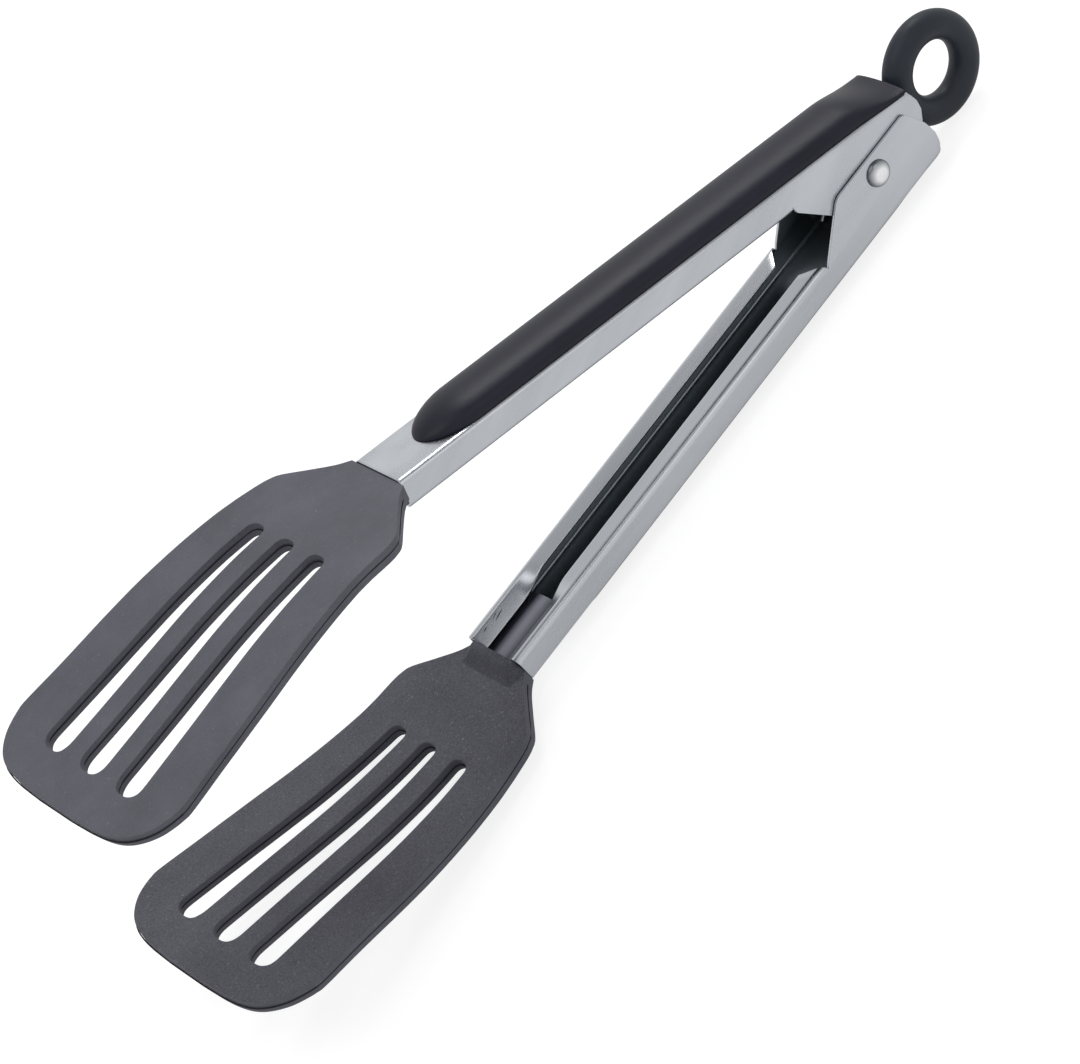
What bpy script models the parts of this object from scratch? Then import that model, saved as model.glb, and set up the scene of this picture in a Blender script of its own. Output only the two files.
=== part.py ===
"""Serving tongs: two folded steel arms on a riveted hinge, slotted nylon heads, half-round grips,
a double torsion spring and a pull ring whose slider latches the arms shut.

Each arm is drawn in its own frame and then placed by an empty on the hinge pin. In that frame the pin
is the Y axis, the heads point along -X, and the web (the channel's back) faces -Z. The lower arm lies
level on its grip. The upper arm is the same frame turned over and opened by OPENING.
"""

import math

import bmesh
import bpy
import numpy as np
from mathutils import Matrix, Vector

MM = 0.001
WELD = 0.0001 * MM
OVERRUN = 6.0 * MM

# Whole tongs
OPENING = math.radians(17.0)
HEAD_MEET_GAP = 0.4 * MM

# Sheet steel arms
SHEET = 0.7 * MM
LOWER_WIDTH = 18.3 * MM
NEST_GAP = 0.12 * MM
UPPER_WIDTH = LOWER_WIDTH - 2 * (SHEET + NEST_GAP)
CHANNEL_HEIGHT = 7.0 * MM
PIVOT_HEIGHT = 11.3 * MM
ARM_LENGTH = 131.0 * MM
BEND_RADIUS = 1.5 * MM
BEND_STEPS = 6
LIP_WIDTH = 3.7 * MM
LIP_END = 22.4 * MM
LIP_SLANT = 4.4 * MM
CHEEK_START = 21.6 * MM
CRIMP_LENGTH = 22.0 * MM
CRIMP_RUN = 9.0 * MM
CRIMP_ANGLE = math.radians(20.0)

# Cheeks: the tall side walls at the hinge
CHEEK_TOP = 4.5 * MM
HINGE_REACH = 16.4 * MM
WEB_SETBACK = 1.8 * MM
CHEEK_SHOULDER = 11.0 * MM
CHEEK_CORNER = 4.0 * MM
CHEEK_BACK_SETBACK = 3.6 * MM
CHEEK_BACK_CORNER = 1.0 * MM
END_SETBACK = 0.6 * MM
END_CORNER = 5.4 * MM
END_UPPER_CORNER = 4.1 * MM
UPPER_CHEEK_FOOT = 13.3 * MM
UPPER_CHEEK_DROP = 2.6 * MM
HEEL_GAP = 0.7 * MM
HEEL_FRONT = 2.0 * MM
HEEL_CORNER = 1.5 * MM
# Where the corners of the cheeks' hinge end lie: share of the way from the pin to the web
LOWER_END_SHARES = (0.5, 0.167)
UPPER_END_SHARE = 0.55

# Hinge rivet
RIVET_RADIUS = 1.75 * MM
RIVET_HEAD_RADIUS = 3.1 * MM
RIVET_HEAD_HEIGHT = 1.7 * MM
RIVET_SIDES = 40
RUNNING_GAP = 0.08 * MM
SEAT_GAP = 0.1 * MM

# Pull ring and lock slider
RING_STANDOFF = 12.2 * MM
RING_RADIUS = 9.65 * MM
RING_TUBE = 3.39 * MM
RING_DROP = 1.4 * MM
PULL_TRAVEL = 6.5 * MM
SLIDER_HALF_WIDTH = 2.8 * MM
SLIDER_HALF_HEIGHT = 4.1 * MM
SLIDER_NOSE = 2.4 * MM
BOLT_MARGIN = 1.9 * MM
BOLT_LENGTH = 2.4 * MM
BOLT_THICKNESS = 1.2 * MM
BOLT_SIDE_GAP = 0.25 * MM
LATCH_GAP = 0.22 * MM
LATCH_REACH = 4.4 * MM
LATCH_COLUMN = 1.9 * MM

# Torsion spring
WIRE_RADIUS = 0.5 * MM
COIL_RADIUS = 2.6 * MM
COIL_TURNS = 2
COIL_SIDE_GAP = 0.25 * MM
UPPER_LEG_REACH = 11.0 * MM
LOWER_LEG_REACH = 10.5 * MM
LEG_GAP = 0.25 * MM
LOOP_POINTS = 24

# Grips
GRIP_HALF_WIDTH = 7.4 * MM
GRIP_HEIGHT = 4.0 * MM
GRIP_SETBACK = 10.7 * MM
GRIP_NOSE_LENGTH = 13.0 * MM
GRIP_TAIL_LENGTH = 7.0 * MM
GRIP_FLANGE = 1.1 * MM
GRIP_FLANGE_LENGTH = 6.7 * MM
GRIP_INSET = 0.4 * MM
GRIP_SIDES = 17
GRIP_FULLNESS_SHARE = 0.75
GRIP_NOSE_SHARE = 1.4
# The nose is cut blunt at these shares of the full width and height
GRIP_TIP_SHARES = (0.08, 0.05)

# Slotted heads
HEAD_LENGTH = 93.0 * MM
NECK_THICKNESS = 3.6 * MM
TIP_THICKNESS = 2.6 * MM
PLATE_RECESS = 0.4 * MM
PLATE_EDGE = 0.45 * MM
HEAD_HALF_WIDTH = 30.7 * MM
HEAD_RISE = 16.2 * MM
HEAD_FLAT_LENGTH = 21.0 * MM
TONGUE_LENGTH = 16.5 * MM
TONGUE_HALF_WIDTH = 6.6 * MM
TONGUE_HEIGHT = 3.1 * MM
COLLAR_LENGTH = 4.6 * MM
COLLAR_HALF_WIDTH = 8.7 * MM
COLLAR_TOP_LENGTH = 1.4 * MM
COLLAR_TOP_HALF_WIDTH = 6.4 * MM
TONGUE_CROWN = 0.9 * MM
BEND_CUTS = 26
OUTLINE_STEPS = 3
SLOT_WIDTH_IN = 5.4 * MM
SLOT_WIDTH_OUT = 8.0 * MM
SLOT_START = 23.6 * MM
SLOT_MARGIN = 9.0 * MM
SLOT_PITCH_IN = 11.2 * MM
SLOT_PITCH_OUT = 13.6 * MM
# Outline of a head from the neck to the tip: share of the way along, share of the half width
OUTLINE_SHARES = (
    (0.0, 0.30), (0.031, 0.375), (0.074, 0.525), (0.117, 0.68), (0.139, 0.72), (0.17, 0.745),
    (0.252, 0.778), (0.413, 0.85), (0.575, 0.915), (0.736, 0.963), (0.844, 1.0), (0.871, 0.993),
    (0.898, 0.967), (0.925, 0.925), (0.952, 0.853), (0.973, 0.765), (0.987, 0.65), (0.996, 0.47),
    (1.0, 0.2),
)
# Bow of a head beyond its flat: share of the way to the tip, share of the rise
BOW_SHARES = (
    (0.0, 0.0), (0.08, 0.025), (0.2, 0.105), (0.34, 0.235), (0.48, 0.40), (0.62, 0.575),
    (0.76, 0.745), (0.88, 0.885), (1.0, 1.0),
)

# Most of an edge that the arcs at its two ends may take together
ROUND_SHARE = 0.99
# Share of the plate's thickness at which the collar's slope meets it
COLLAR_FOOT_SHARE = 0.8

WEB = -PIVOT_HEIGHT
LIP_TOP = WEB + CHANNEL_HEIGHT
INNER_WEB = WEB + SHEET
LOWER_INSIDE = LOWER_WIDTH / 2 - SHEET
UPPER_INSIDE = UPPER_WIDTH / 2 - SHEET
FLOOR = WEB - SEAT_GAP - GRIP_HEIGHT
HEAD_TIP = ARM_LENGTH + HEAD_LENGTH
HEAD_FLAT_END = ARM_LENGTH + HEAD_FLAT_LENGTH
SLOT_IN = ARM_LENGTH + SLOT_START
SLOT_OUT = HEAD_TIP - SLOT_MARGIN
WEB_REACH = HINGE_REACH - WEB_SETBACK
RING_CENTRE = HINGE_REACH + RING_STANDOFF
BOLT_FRONT = HINGE_REACH - BOLT_MARGIN - PULL_TRAVEL - BOLT_LENGTH
LATCH_TIP = BOLT_FRONT + LATCH_REACH
GRIP_NOSE = ARM_LENGTH - GRIP_SETBACK
GRIP_END = WEB_REACH - GRIP_INSET
GRIP_CREST_END = GRIP_END - GRIP_FLANGE_LENGTH
BOX_CENTRE = (RING_CENTRE + RING_RADIUS + RING_TUBE - HEAD_TIP) / 2
TIP_INNER_FACE = WEB + PLATE_RECESS + TIP_THICKNESS + HEAD_RISE
# The arms shut until the tips of the heads meet
CLOSED = 2 * math.atan2(TIP_INNER_FACE + HEAD_MEET_GAP / 2, HEAD_TIP)


def material(name, colour, metallic, roughness):
    made = bpy.data.materials.new(name)
    made.use_nodes = True
    shader = made.node_tree.nodes["Principled BSDF"]
    shader.inputs["Base Color"].default_value = (*colour, 1.0)
    shader.inputs["Metallic"].default_value = metallic
    shader.inputs["Roughness"].default_value = roughness
    made.diffuse_color = (*colour, 1.0)
    return made


def place(name, mesh, parent, surface):
    """Adds a mesh to the tongs' collection as one named piece riding on its arm's empty."""
    made = bpy.data.objects.new(name, mesh)
    TONGS.objects.link(made)
    made.parent = parent
    mesh.materials.clear()
    mesh.materials.append(surface)
    mesh.shade_smooth()
    mesh.set_sharp_from_angle(angle=math.radians(32))
    return made


def hide(made):
    """Turns an object into a hidden tool for Booleans."""
    for collection in list(made.users_collection):
        collection.objects.unlink(made)
    CUTTERS.objects.link(made)
    made.hide_render = True
    made.display_type = "WIRE"
    return made


def mesh_of(made):
    """The object's finished mesh in its own frame, with the object itself removed."""
    bpy.context.view_layer.update()
    graph = bpy.context.evaluated_depsgraph_get()
    mesh = bpy.data.meshes.new_from_object(made.evaluated_get(graph))
    mesh.transform(made.matrix_world)
    bpy.data.objects.remove(made)
    shape = bmesh.new()
    shape.from_mesh(mesh)
    bmesh.ops.remove_doubles(shape, verts=shape.verts, dist=WELD)
    bmesh.ops.recalc_face_normals(shape, faces=shape.faces)
    shape.to_mesh(mesh)
    shape.free()
    return mesh


def rounded(corners, steps=5):
    """An outline whose corners (u, v, radius) are replaced with arcs, which shrink where two would meet."""
    places = [Vector(corner[:2]) for corner in corners]
    count = len(places)
    halves = []
    for i, here in enumerate(places):
        halves.append((places[i - 1] - here).angle(places[(i + 1) % count] - here) / 2)
    reaches = [corner[2] / math.tan(half) for corner, half in zip(corners, halves)]
    points = []
    for i, here in enumerate(places):
        if reaches[i] == 0:
            points.append(here)
            continue
        reach = reaches[i]
        for k in (i - 1, (i + 1) % count):
            room = (places[k] - here).length * ROUND_SHARE
            reach = min(reach, reaches[i] * room / (reaches[i] + reaches[k]))
        before = (places[i - 1] - here).normalized()
        after = (places[(i + 1) % count] - here).normalized()
        centre = here + (before + after).normalized() * (reach / math.cos(halves[i]))
        start = here + before * reach - centre
        turn = start.angle_signed(here + after * reach - centre)
        for k in range(steps + 1):
            points.append(centre + Matrix.Rotation(-turn * k / steps, 2) @ start)
    return points


def smooth(points, steps):
    """The points joined by an even curve that passes through each of them, with this many steps between two."""
    p = [Vector(q) for q in points]
    p = [p[0] * 2 - p[1], *p, p[-1] * 2 - p[-2]]
    curve = []
    for a, b, c, d in zip(p, p[1:], p[2:], p[3:]):
        for k in range(steps):
            t = k / steps
            pull = (c - a) / 2
            leave = (d - b) / 2
            curve.append(
                b * (2 * t**3 - 3 * t**2 + 1) + pull * (t**3 - 2 * t**2 + t)
                + c * (3 * t**2 - 2 * t**3) + leave * (t**3 - t**2)
            )
    return curve + [p[-2]]


def prism(outline, depth, plane, holes=(), edge=0):
    """A mesh of a 2D outline in plane XY, XZ or YZ, given half the depth to each side of it. Its holes are
    outlines too, and all its rims can be broken by an edge."""
    curve = bpy.data.curves.new("outline", "CURVE")
    curve.dimensions = "2D"
    curve.fill_mode = "BOTH"
    curve.extrude = depth / 2 - edge
    curve.bevel_depth = edge
    curve.bevel_resolution = 0
    curve.offset = -edge
    for ring in (outline, *holes):
        spline = curve.splines.new("POLY")
        spline.points.add(len(ring) - 1)
        for point, (u, v) in zip(spline.points, ring):
            point.co = (u, v, 0, 1)
        spline.use_cyclic_u = True
    made = bpy.data.objects.new("outline", curve)
    TONGS.objects.link(made)
    if plane != "XY":
        made.rotation_euler.x = math.pi / 2
    if plane == "YZ":
        made.rotation_euler.z = math.pi / 2
    return mesh_of(made)


def cylinder(radius, length, segments):
    """A round bar along Y."""
    mesh = bpy.data.meshes.new("bar")
    shape = bmesh.new()
    bmesh.ops.create_cone(
        shape, cap_ends=True, segments=segments, radius1=radius, radius2=radius, depth=length,
        matrix=Matrix.Rotation(math.pi / 2, 4, "X"),
    )
    shape.to_mesh(mesh)
    shape.free()
    return mesh


def tool(name, mesh, parent):
    made = bpy.data.objects.new(name, mesh)
    TONGS.objects.link(made)
    made.parent = parent
    return hide(made)


def boolean(target, cutter, operation):
    modifier = target.modifiers.new(cutter.name, "BOOLEAN")
    modifier.operation = operation
    modifier.solver = "EXACT"
    modifier.object = cutter
    return modifier


# Sheet steel arms


def folded_section(width, crimp):
    """Half of the channel's outer face, from the web's middle to the lip's edge, as (y, z) points."""
    inner = width / 2 - BEND_RADIUS
    points = [(0, WEB)]
    for k in range(BEND_STEPS + 1):
        angle = -math.pi / 2 + k / BEND_STEPS * math.pi / 2
        points.append((inner + BEND_RADIUS * math.cos(angle), WEB + BEND_RADIUS * (1 + math.sin(angle))))
    turn = math.pi / 2 + crimp
    for k in range(BEND_STEPS + 1):
        angle = k / BEND_STEPS * turn
        points.append((inner + BEND_RADIUS * math.cos(angle), LIP_TOP - BEND_RADIUS * (1 - math.sin(angle))))
    y, z = points[-1]
    points.append((y - LIP_WIDTH * math.sin(turn), z + LIP_WIDTH * math.cos(turn)))
    return points


def cheek_section(width, top):
    """The same points with the lip left unfolded, so that the wall runs straight up to the cheek's top."""
    points = folded_section(width, 0)
    wall = BEND_STEPS + 2
    low = points[wall][1]
    last = len(points) - 1
    for k in range(wall, last + 1):
        points[k] = (width / 2, low + (top - low) * (k - wall) / (last - wall))
    return points


def crimp_at(distance):
    """How far the lips are pressed down at this distance from the head's end of the arm."""
    t = min(max((CRIMP_LENGTH - distance) / CRIMP_RUN, 0), 1)
    return CRIMP_ANGLE * t * t * (3 - 2 * t)


def arm_sheet(width, top):
    """The folded blank: lips on the handle, tall cheeks at the hinge, one wall running through both."""
    steps = np.linspace(0, CRIMP_LENGTH, 14)
    stations = [(-ARM_LENGTH + s, folded_section(width, crimp_at(s)), False) for s in steps]
    stations.append((-LIP_END, folded_section(width, 0), False))
    past_hinge = HINGE_REACH + BEND_RADIUS
    stations += [(-CHEEK_START, cheek_section(width, top), True), (past_hinge, cheek_section(width, top), True)]
    shape = bmesh.new()
    rows = [[shape.verts.new((x, y, z)) for y, z in section] for x, section, _ in stations]
    lip_first = BEND_STEPS + 2
    for i in range(len(rows) - 1):
        relief = stations[i][2] != stations[i + 1][2]
        for j in range(len(rows[i]) - 1):
            if relief and j >= lip_first:
                continue
            shape.faces.new((rows[i][j], rows[i][j + 1], rows[i + 1][j + 1], rows[i + 1][j]))
    mesh = bpy.data.meshes.new("arm sheet")
    shape.to_mesh(mesh)
    shape.free()
    return mesh


def steel_arm(name, width, cheek_outline, parent):
    """Folds one arm, then trims its side outline and lip ends and drills the hinge holes."""
    top = max(v for _, v, _ in cheek_outline) + BEND_RADIUS
    made = place(name, arm_sheet(width, top), parent, STEEL)
    mirror = made.modifiers.new("Other half", "MIRROR")
    mirror.use_axis = (False, True, False)
    mirror.merge_threshold = WELD
    sheet = made.modifiers.new("Sheet", "SOLIDIFY")
    sheet.thickness = SHEET
    sheet.offset = -1
    sheet.use_even_offset = True
    outline = tool(name + " outline", prism(rounded(cheek_outline), 2 * width, "XZ"), parent)
    boolean(made, outline, "INTERSECT")
    slant = [
        (-LIP_END - LIP_SLANT, -LIP_WIDTH), (-LIP_END - LIP_SLANT, LIP_WIDTH),
        (-LIP_END, width / 2 - BEND_RADIUS), (-CHEEK_START + SHEET, width / 2 - BEND_RADIUS),
        (-CHEEK_START + SHEET, BEND_RADIUS - width / 2), (-LIP_END, BEND_RADIUS - width / 2),
    ]
    ends = prism([Vector(p) for p in slant], 4 * SHEET, "XY")
    ends.transform(Matrix.Translation((0, 0, LIP_TOP)))
    boolean(made, tool(name + " lip ends", ends, parent), "DIFFERENCE")
    hole = cylinder(RIVET_RADIUS + RUNNING_GAP, 2 * width, RIVET_SIDES)
    boolean(made, tool(name + " hinge holes", hole, parent), "DIFFERENCE")
    return made


def lower_outline():
    """Side outline of the lower arm, kept by an intersection: long handle, sloped front, arched hinge end."""
    past = ARM_LENGTH + OVERRUN
    over_lip = LIP_TOP + SHEET / 2
    low, high = LOWER_END_SHARES
    return [
        (-past, WEB - SHEET, 0), (WEB_REACH, WEB - SHEET, 0), (WEB_REACH, WEB + BEND_RADIUS / 3, 0),
        (HINGE_REACH, WEB * low, END_CORNER), (HINGE_REACH - END_SETBACK, WEB * high, END_UPPER_CORNER),
        (HINGE_REACH - CHEEK_BACK_SETBACK, CHEEK_TOP, CHEEK_BACK_CORNER),
        (-CHEEK_SHOULDER, CHEEK_TOP, CHEEK_CORNER),
        (-CHEEK_START, LIP_TOP - SHEET, 0), (-CHEEK_START, over_lip, 0), (-past, over_lip, 0),
    ]


def in_upper(x, z, opening):
    """A point of the lower arm's frame seen in the upper arm's frame at this opening."""
    c, s = math.cos(opening), math.sin(opening)
    return x * c - z * s, -(x * s + z * c)


def upper_outline():
    """Side outline of the upper arm. Behind the pin a latch tooth lies between the two places that the
    pulled bolt can take: under the tooth when the tongs are shut, over it when they are open."""
    past = ARM_LENGTH + OVERRUN
    over_lip = LIP_TOP + SHEET / 2
    bolt_top = -RING_DROP + BOLT_THICKNESS / 2 + LATCH_GAP
    bolt_foot = -RING_DROP - BOLT_THICKNESS / 2 - LATCH_GAP
    bolt_back = BOLT_FRONT + BOLT_LENGTH + PULL_TRAVEL + LATCH_GAP

    def shut(x):
        u, v = in_upper(x, bolt_top, CLOSED)
        return v + (x - u) * -math.tan(CLOSED)

    def open_foot(x):
        u, v = in_upper(x, bolt_foot, OPENING)
        return v + (x - u) * -math.tan(OPENING)

    def open_top(x):
        u, v = in_upper(x, bolt_top, OPENING)
        return v + (x - u) * -math.tan(OPENING)

    window_back = in_upper(bolt_back, bolt_foot, OPENING)[0] + LATCH_GAP
    window_front = BOLT_FRONT - LATCH_GAP - SHEET / 6
    column = window_back + LATCH_COLUMN
    landing = window_front - HEEL_CORNER
    heel = (PIVOT_HEIGHT - SHEET - HEEL_GAP - landing * math.sin(OPENING)) / math.cos(OPENING)
    return [
        (-past, WEB - SHEET, 0), (WEB_REACH, WEB - SHEET, 0), (WEB_REACH, WEB + BEND_RADIUS / 3, 0),
        (HINGE_REACH, WEB * UPPER_END_SHARE, END_CORNER), (column, shut(column), 0),
        (LATCH_TIP, shut(LATCH_TIP), 0), (LATCH_TIP, open_foot(LATCH_TIP), 0),
        (window_back, open_foot(window_back), 0), (window_back, open_top(window_back), 0),
        (window_front, open_top(window_front), 0), (window_front, heel - HEEL_CORNER / 2, 0),
        (landing, heel, 0), (-HEEL_FRONT, heel, 0), (-UPPER_CHEEK_FOOT, UPPER_CHEEK_DROP, 0),
        (-CHEEK_START, LIP_TOP + BEND_RADIUS / 2, 0), (-CHEEK_START, over_lip, 0), (-past, over_lip, 0),
    ]


# Hinge rivet


def rivet():
    """A profile spun round the hinge axis: shank with a domed head on each side."""
    half = LOWER_WIDTH / 2 + SEAT_GAP
    dome = []
    for k in range(9):
        angle = k / 8 * math.pi / 2
        dome.append((RIVET_HEAD_RADIUS * math.sin(angle), half + RIVET_HEAD_HEIGHT * math.cos(angle)))
    upper = [*dome, (RIVET_RADIUS, half)]
    profile = upper + [(r, -v) for r, v in reversed(upper)]
    shape = bmesh.new()
    verts = [shape.verts.new((r, 0, v)) for r, v in profile]
    for a, b in zip(verts, verts[1:]):
        shape.edges.new((a, b))
    mesh = bpy.data.meshes.new("rivet")
    shape.to_mesh(mesh)
    shape.free()
    made = bpy.data.objects.new("rivet", mesh)
    TONGS.objects.link(made)
    spin = made.modifiers.new("Spin", "SCREW")
    spin.axis = "Z"
    spin.steps = RIVET_SIDES
    spin.render_steps = RIVET_SIDES
    spin.use_merge_vertices = True
    spin.merge_threshold = WELD
    made.rotation_euler.x = math.pi / 2
    return mesh_of(made)


# Torsion spring


def spring_path():
    """Centre line of the wire: lower leg, coil, bridge under the upper web, coil, lower leg."""
    inside = SLIDER_HALF_WIDTH + COIL_SIDE_GAP + WIRE_RADIUS
    outside = UPPER_INSIDE - COIL_SIDE_GAP - WIRE_RADIUS
    upper_web = PIVOT_HEIGHT - SHEET - WIRE_RADIUS - LEG_GAP
    x = -UPPER_LEG_REACH
    bridge = Vector((x, (upper_web + UPPER_LEG_REACH * math.sin(OPENING)) / math.cos(OPENING)))
    foot = Vector((-LOWER_LEG_REACH, INNER_WEB + WIRE_RADIUS + LEG_GAP))
    swing = math.acos(COIL_RADIUS / bridge.length)
    start = math.atan2(bridge.y, bridge.x) - swing
    end = math.atan2(foot.y, foot.x) + math.acos(COIL_RADIUS / foot.length)
    wrap = (start - end) % math.tau + math.tau * COIL_TURNS
    count = round(wrap / math.tau * LOOP_POINTS)
    half = [Vector((foot.x, outside, foot.y))]
    for k in range(count + 1):
        t = k / count
        angle = start - wrap * (1 - t)
        y = outside + (inside - outside) * t
        half.append(Vector((COIL_RADIUS * math.cos(angle), y, COIL_RADIUS * math.sin(angle))))
    corner = 2 * WIRE_RADIUS
    last = half[-1]
    towards = (Vector((bridge.x, inside, bridge.y)) - last).normalized()
    tip = Vector((bridge.x, inside, bridge.y))
    for k in range(5):
        angle = k / 4 * math.pi / 2
        half.append(tip - towards * corner * (1 - math.sin(angle)) - Vector((0, corner * (1 - math.cos(angle)), 0)))
    return half + [Vector((p.x, -p.y, p.z)) for p in reversed(half)]


def least_gap(points):
    """Smallest clear distance between two stretches of the wire that aren't neighbours along it."""
    p = np.array([tuple(q) for q in points])
    run = np.concatenate([[0], np.cumsum(np.linalg.norm(np.diff(p, axis=0), axis=1))])
    apart = np.linalg.norm(p[:, None] - p[None], axis=2)
    far = np.abs(run[:, None] - run[None]) > 6 * WIRE_RADIUS
    return apart[far].min() - 2 * WIRE_RADIUS


def torsion_spring():
    points = spring_path()
    print(f"torsion_spring: least gap to itself {least_gap(points) / MM:.2f} mm")
    curve = bpy.data.curves.new("wire", "CURVE")
    curve.dimensions = "3D"
    curve.bevel_depth = WIRE_RADIUS
    curve.bevel_resolution = 1
    curve.use_fill_caps = True
    spline = curve.splines.new("POLY")
    spline.points.add(len(points) - 1)
    for point, where in zip(spline.points, points):
        point.co = (*where, 1)
    made = bpy.data.objects.new("wire", curve)
    TONGS.objects.link(made)
    return mesh_of(made)


# Pull ring and lock slider


def ring_slider(parent):
    """The ring, the slotted bar that slides over the rivet, and the cross bolt that meets the latch tooth."""
    shape = bmesh.new()
    ring = bpy.data.meshes.new("ring")
    around, tube = 56, 20
    rows = []
    for i in range(around):
        a = i / around * math.tau
        rows.append([])
        for j in range(tube):
            b = j / tube * math.tau
            r = RING_RADIUS + RING_TUBE * math.cos(b)
            x, z = RING_CENTRE + r * math.cos(a), r * math.sin(a) - RING_DROP
            rows[i].append(shape.verts.new((x, RING_TUBE * math.sin(b), z)))
    for i in range(around):
        for j in range(tube):
            n, m = (i + 1) % around, (j + 1) % tube
            shape.faces.new((rows[i][j], rows[i][m], rows[n][m], rows[n][j]))
    shape.to_mesh(ring)
    shape.free()
    made = place("pull_ring_lock", ring, parent, PLASTIC)
    slot_back = RIVET_RADIUS + RUNNING_GAP
    slot_front = slot_back + PULL_TRAVEL
    front = slot_front + SLIDER_NOSE
    back = RING_CENTRE - RING_RADIUS
    bar_outline = rounded([
        (-front, -SLIDER_HALF_HEIGHT - RING_DROP / 2, SLIDER_NOSE), (back, -SLIDER_HALF_HEIGHT - RING_DROP / 2, 0),
        (back, SLIDER_HALF_HEIGHT - RING_DROP / 2, 0), (-front, SLIDER_HALF_HEIGHT - RING_DROP / 2, SLIDER_NOSE),
    ])
    boolean(made, tool("slider bar", prism(bar_outline, 2 * SLIDER_HALF_WIDTH, "XZ"), parent), "UNION")
    bolt_outline = rounded([
        (BOLT_FRONT, -RING_DROP - BOLT_THICKNESS / 2, BOLT_THICKNESS / 4),
        (BOLT_FRONT + BOLT_LENGTH, -RING_DROP - BOLT_THICKNESS / 2, BOLT_THICKNESS / 4),
        (BOLT_FRONT + BOLT_LENGTH, -RING_DROP + BOLT_THICKNESS / 2, BOLT_THICKNESS / 4),
        (BOLT_FRONT, -RING_DROP + BOLT_THICKNESS / 2, BOLT_THICKNESS / 4),
    ], 2)
    bolt = prism(bolt_outline, 2 * (LOWER_INSIDE - BOLT_SIDE_GAP), "XZ")
    boolean(made, tool("cross bolt", bolt, parent), "UNION")
    slot = RIVET_RADIUS + RUNNING_GAP
    slot_outline = rounded([
        (-slot_front, -slot, slot), (slot_back, -slot, slot), (slot_back, slot, slot), (-slot_front, slot, slot),
    ], 8)
    boolean(made, tool("rivet slot", prism(slot_outline, 4 * SLIDER_HALF_WIDTH, "XZ"), parent), "DIFFERENCE")
    return made


# Grips


def grip():
    """A half-round bar along the web: rounded nose by the head, crest that runs out before the hinge."""
    stations = []
    least_wide, least_high = GRIP_TIP_SHARES
    for t in np.linspace(0, 1, 9):
        rise = math.sqrt(max(1 - (1 - t) ** 2, 0))
        high = max(rise**GRIP_NOSE_SHARE, least_high)
        stations.append((-GRIP_NOSE + GRIP_NOSE_LENGTH * t, max(rise, least_wide), high))
    crest_start = GRIP_CREST_END - GRIP_TAIL_LENGTH
    flange = GRIP_FLANGE / GRIP_HEIGHT
    for t in np.linspace(0, 1, 6):
        fall = math.sqrt(max(1 - t * t, 0))
        stations.append((crest_start + GRIP_TAIL_LENGTH * t, 1, flange + (1 - flange) * fall))
    stations.append((GRIP_END, 1, flange))
    shape = bmesh.new()
    rows = []
    for x, wide, high in stations:
        row = []
        for k in range(GRIP_SIDES + 1):
            angle = math.pi * k / GRIP_SIDES
            y = GRIP_HALF_WIDTH * wide * math.cos(angle)
            z = GRIP_HEIGHT * high * abs(math.sin(angle)) ** GRIP_FULLNESS_SHARE
            row.append(shape.verts.new((x, y, WEB - SEAT_GAP - z)))
        rows.append(row)
    for a, b in zip(rows, rows[1:]):
        for k in range(len(a)):
            m = (k + 1) % len(a)
            shape.faces.new((a[k], a[m], b[m], b[k]))
    shape.faces.new(rows[0])
    shape.faces.new(rows[-1])
    bmesh.ops.recalc_face_normals(shape, faces=shape.faces)
    mesh = bpy.data.meshes.new("grip")
    shape.to_mesh(mesh)
    shape.free()
    return mesh


# Slotted heads


def bow(distance):
    """Height of the head's outer face at this distance from the pin, counted from its flat."""
    t = (distance - HEAD_FLAT_END) / (HEAD_TIP - HEAD_FLAT_END)
    along, rise = zip(*BOW_SHARES)
    return HEAD_RISE * float(np.interp(t, along, rise))


def thickness(distance):
    """Thickness of the plate, which thins evenly from the neck to the tip."""
    t = (distance - ARM_LENGTH) / HEAD_LENGTH
    return NECK_THICKNESS + (TIP_THICKNESS - NECK_THICKNESS) * t


def slot_outline(centre_in, centre_out):
    """A round-ended slot between two points of the plate, wider towards the tip."""
    across = (centre_out - centre_in).normalized().orthogonal() / 2
    ring = []
    for centre, start, width in ((centre_in, 0, SLOT_WIDTH_IN), (centre_out, math.pi, SLOT_WIDTH_OUT)):
        for step in range(9):
            ring.append(centre + Matrix.Rotation(start + math.pi * step / 8, 2) @ across * width)
    return ring


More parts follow.
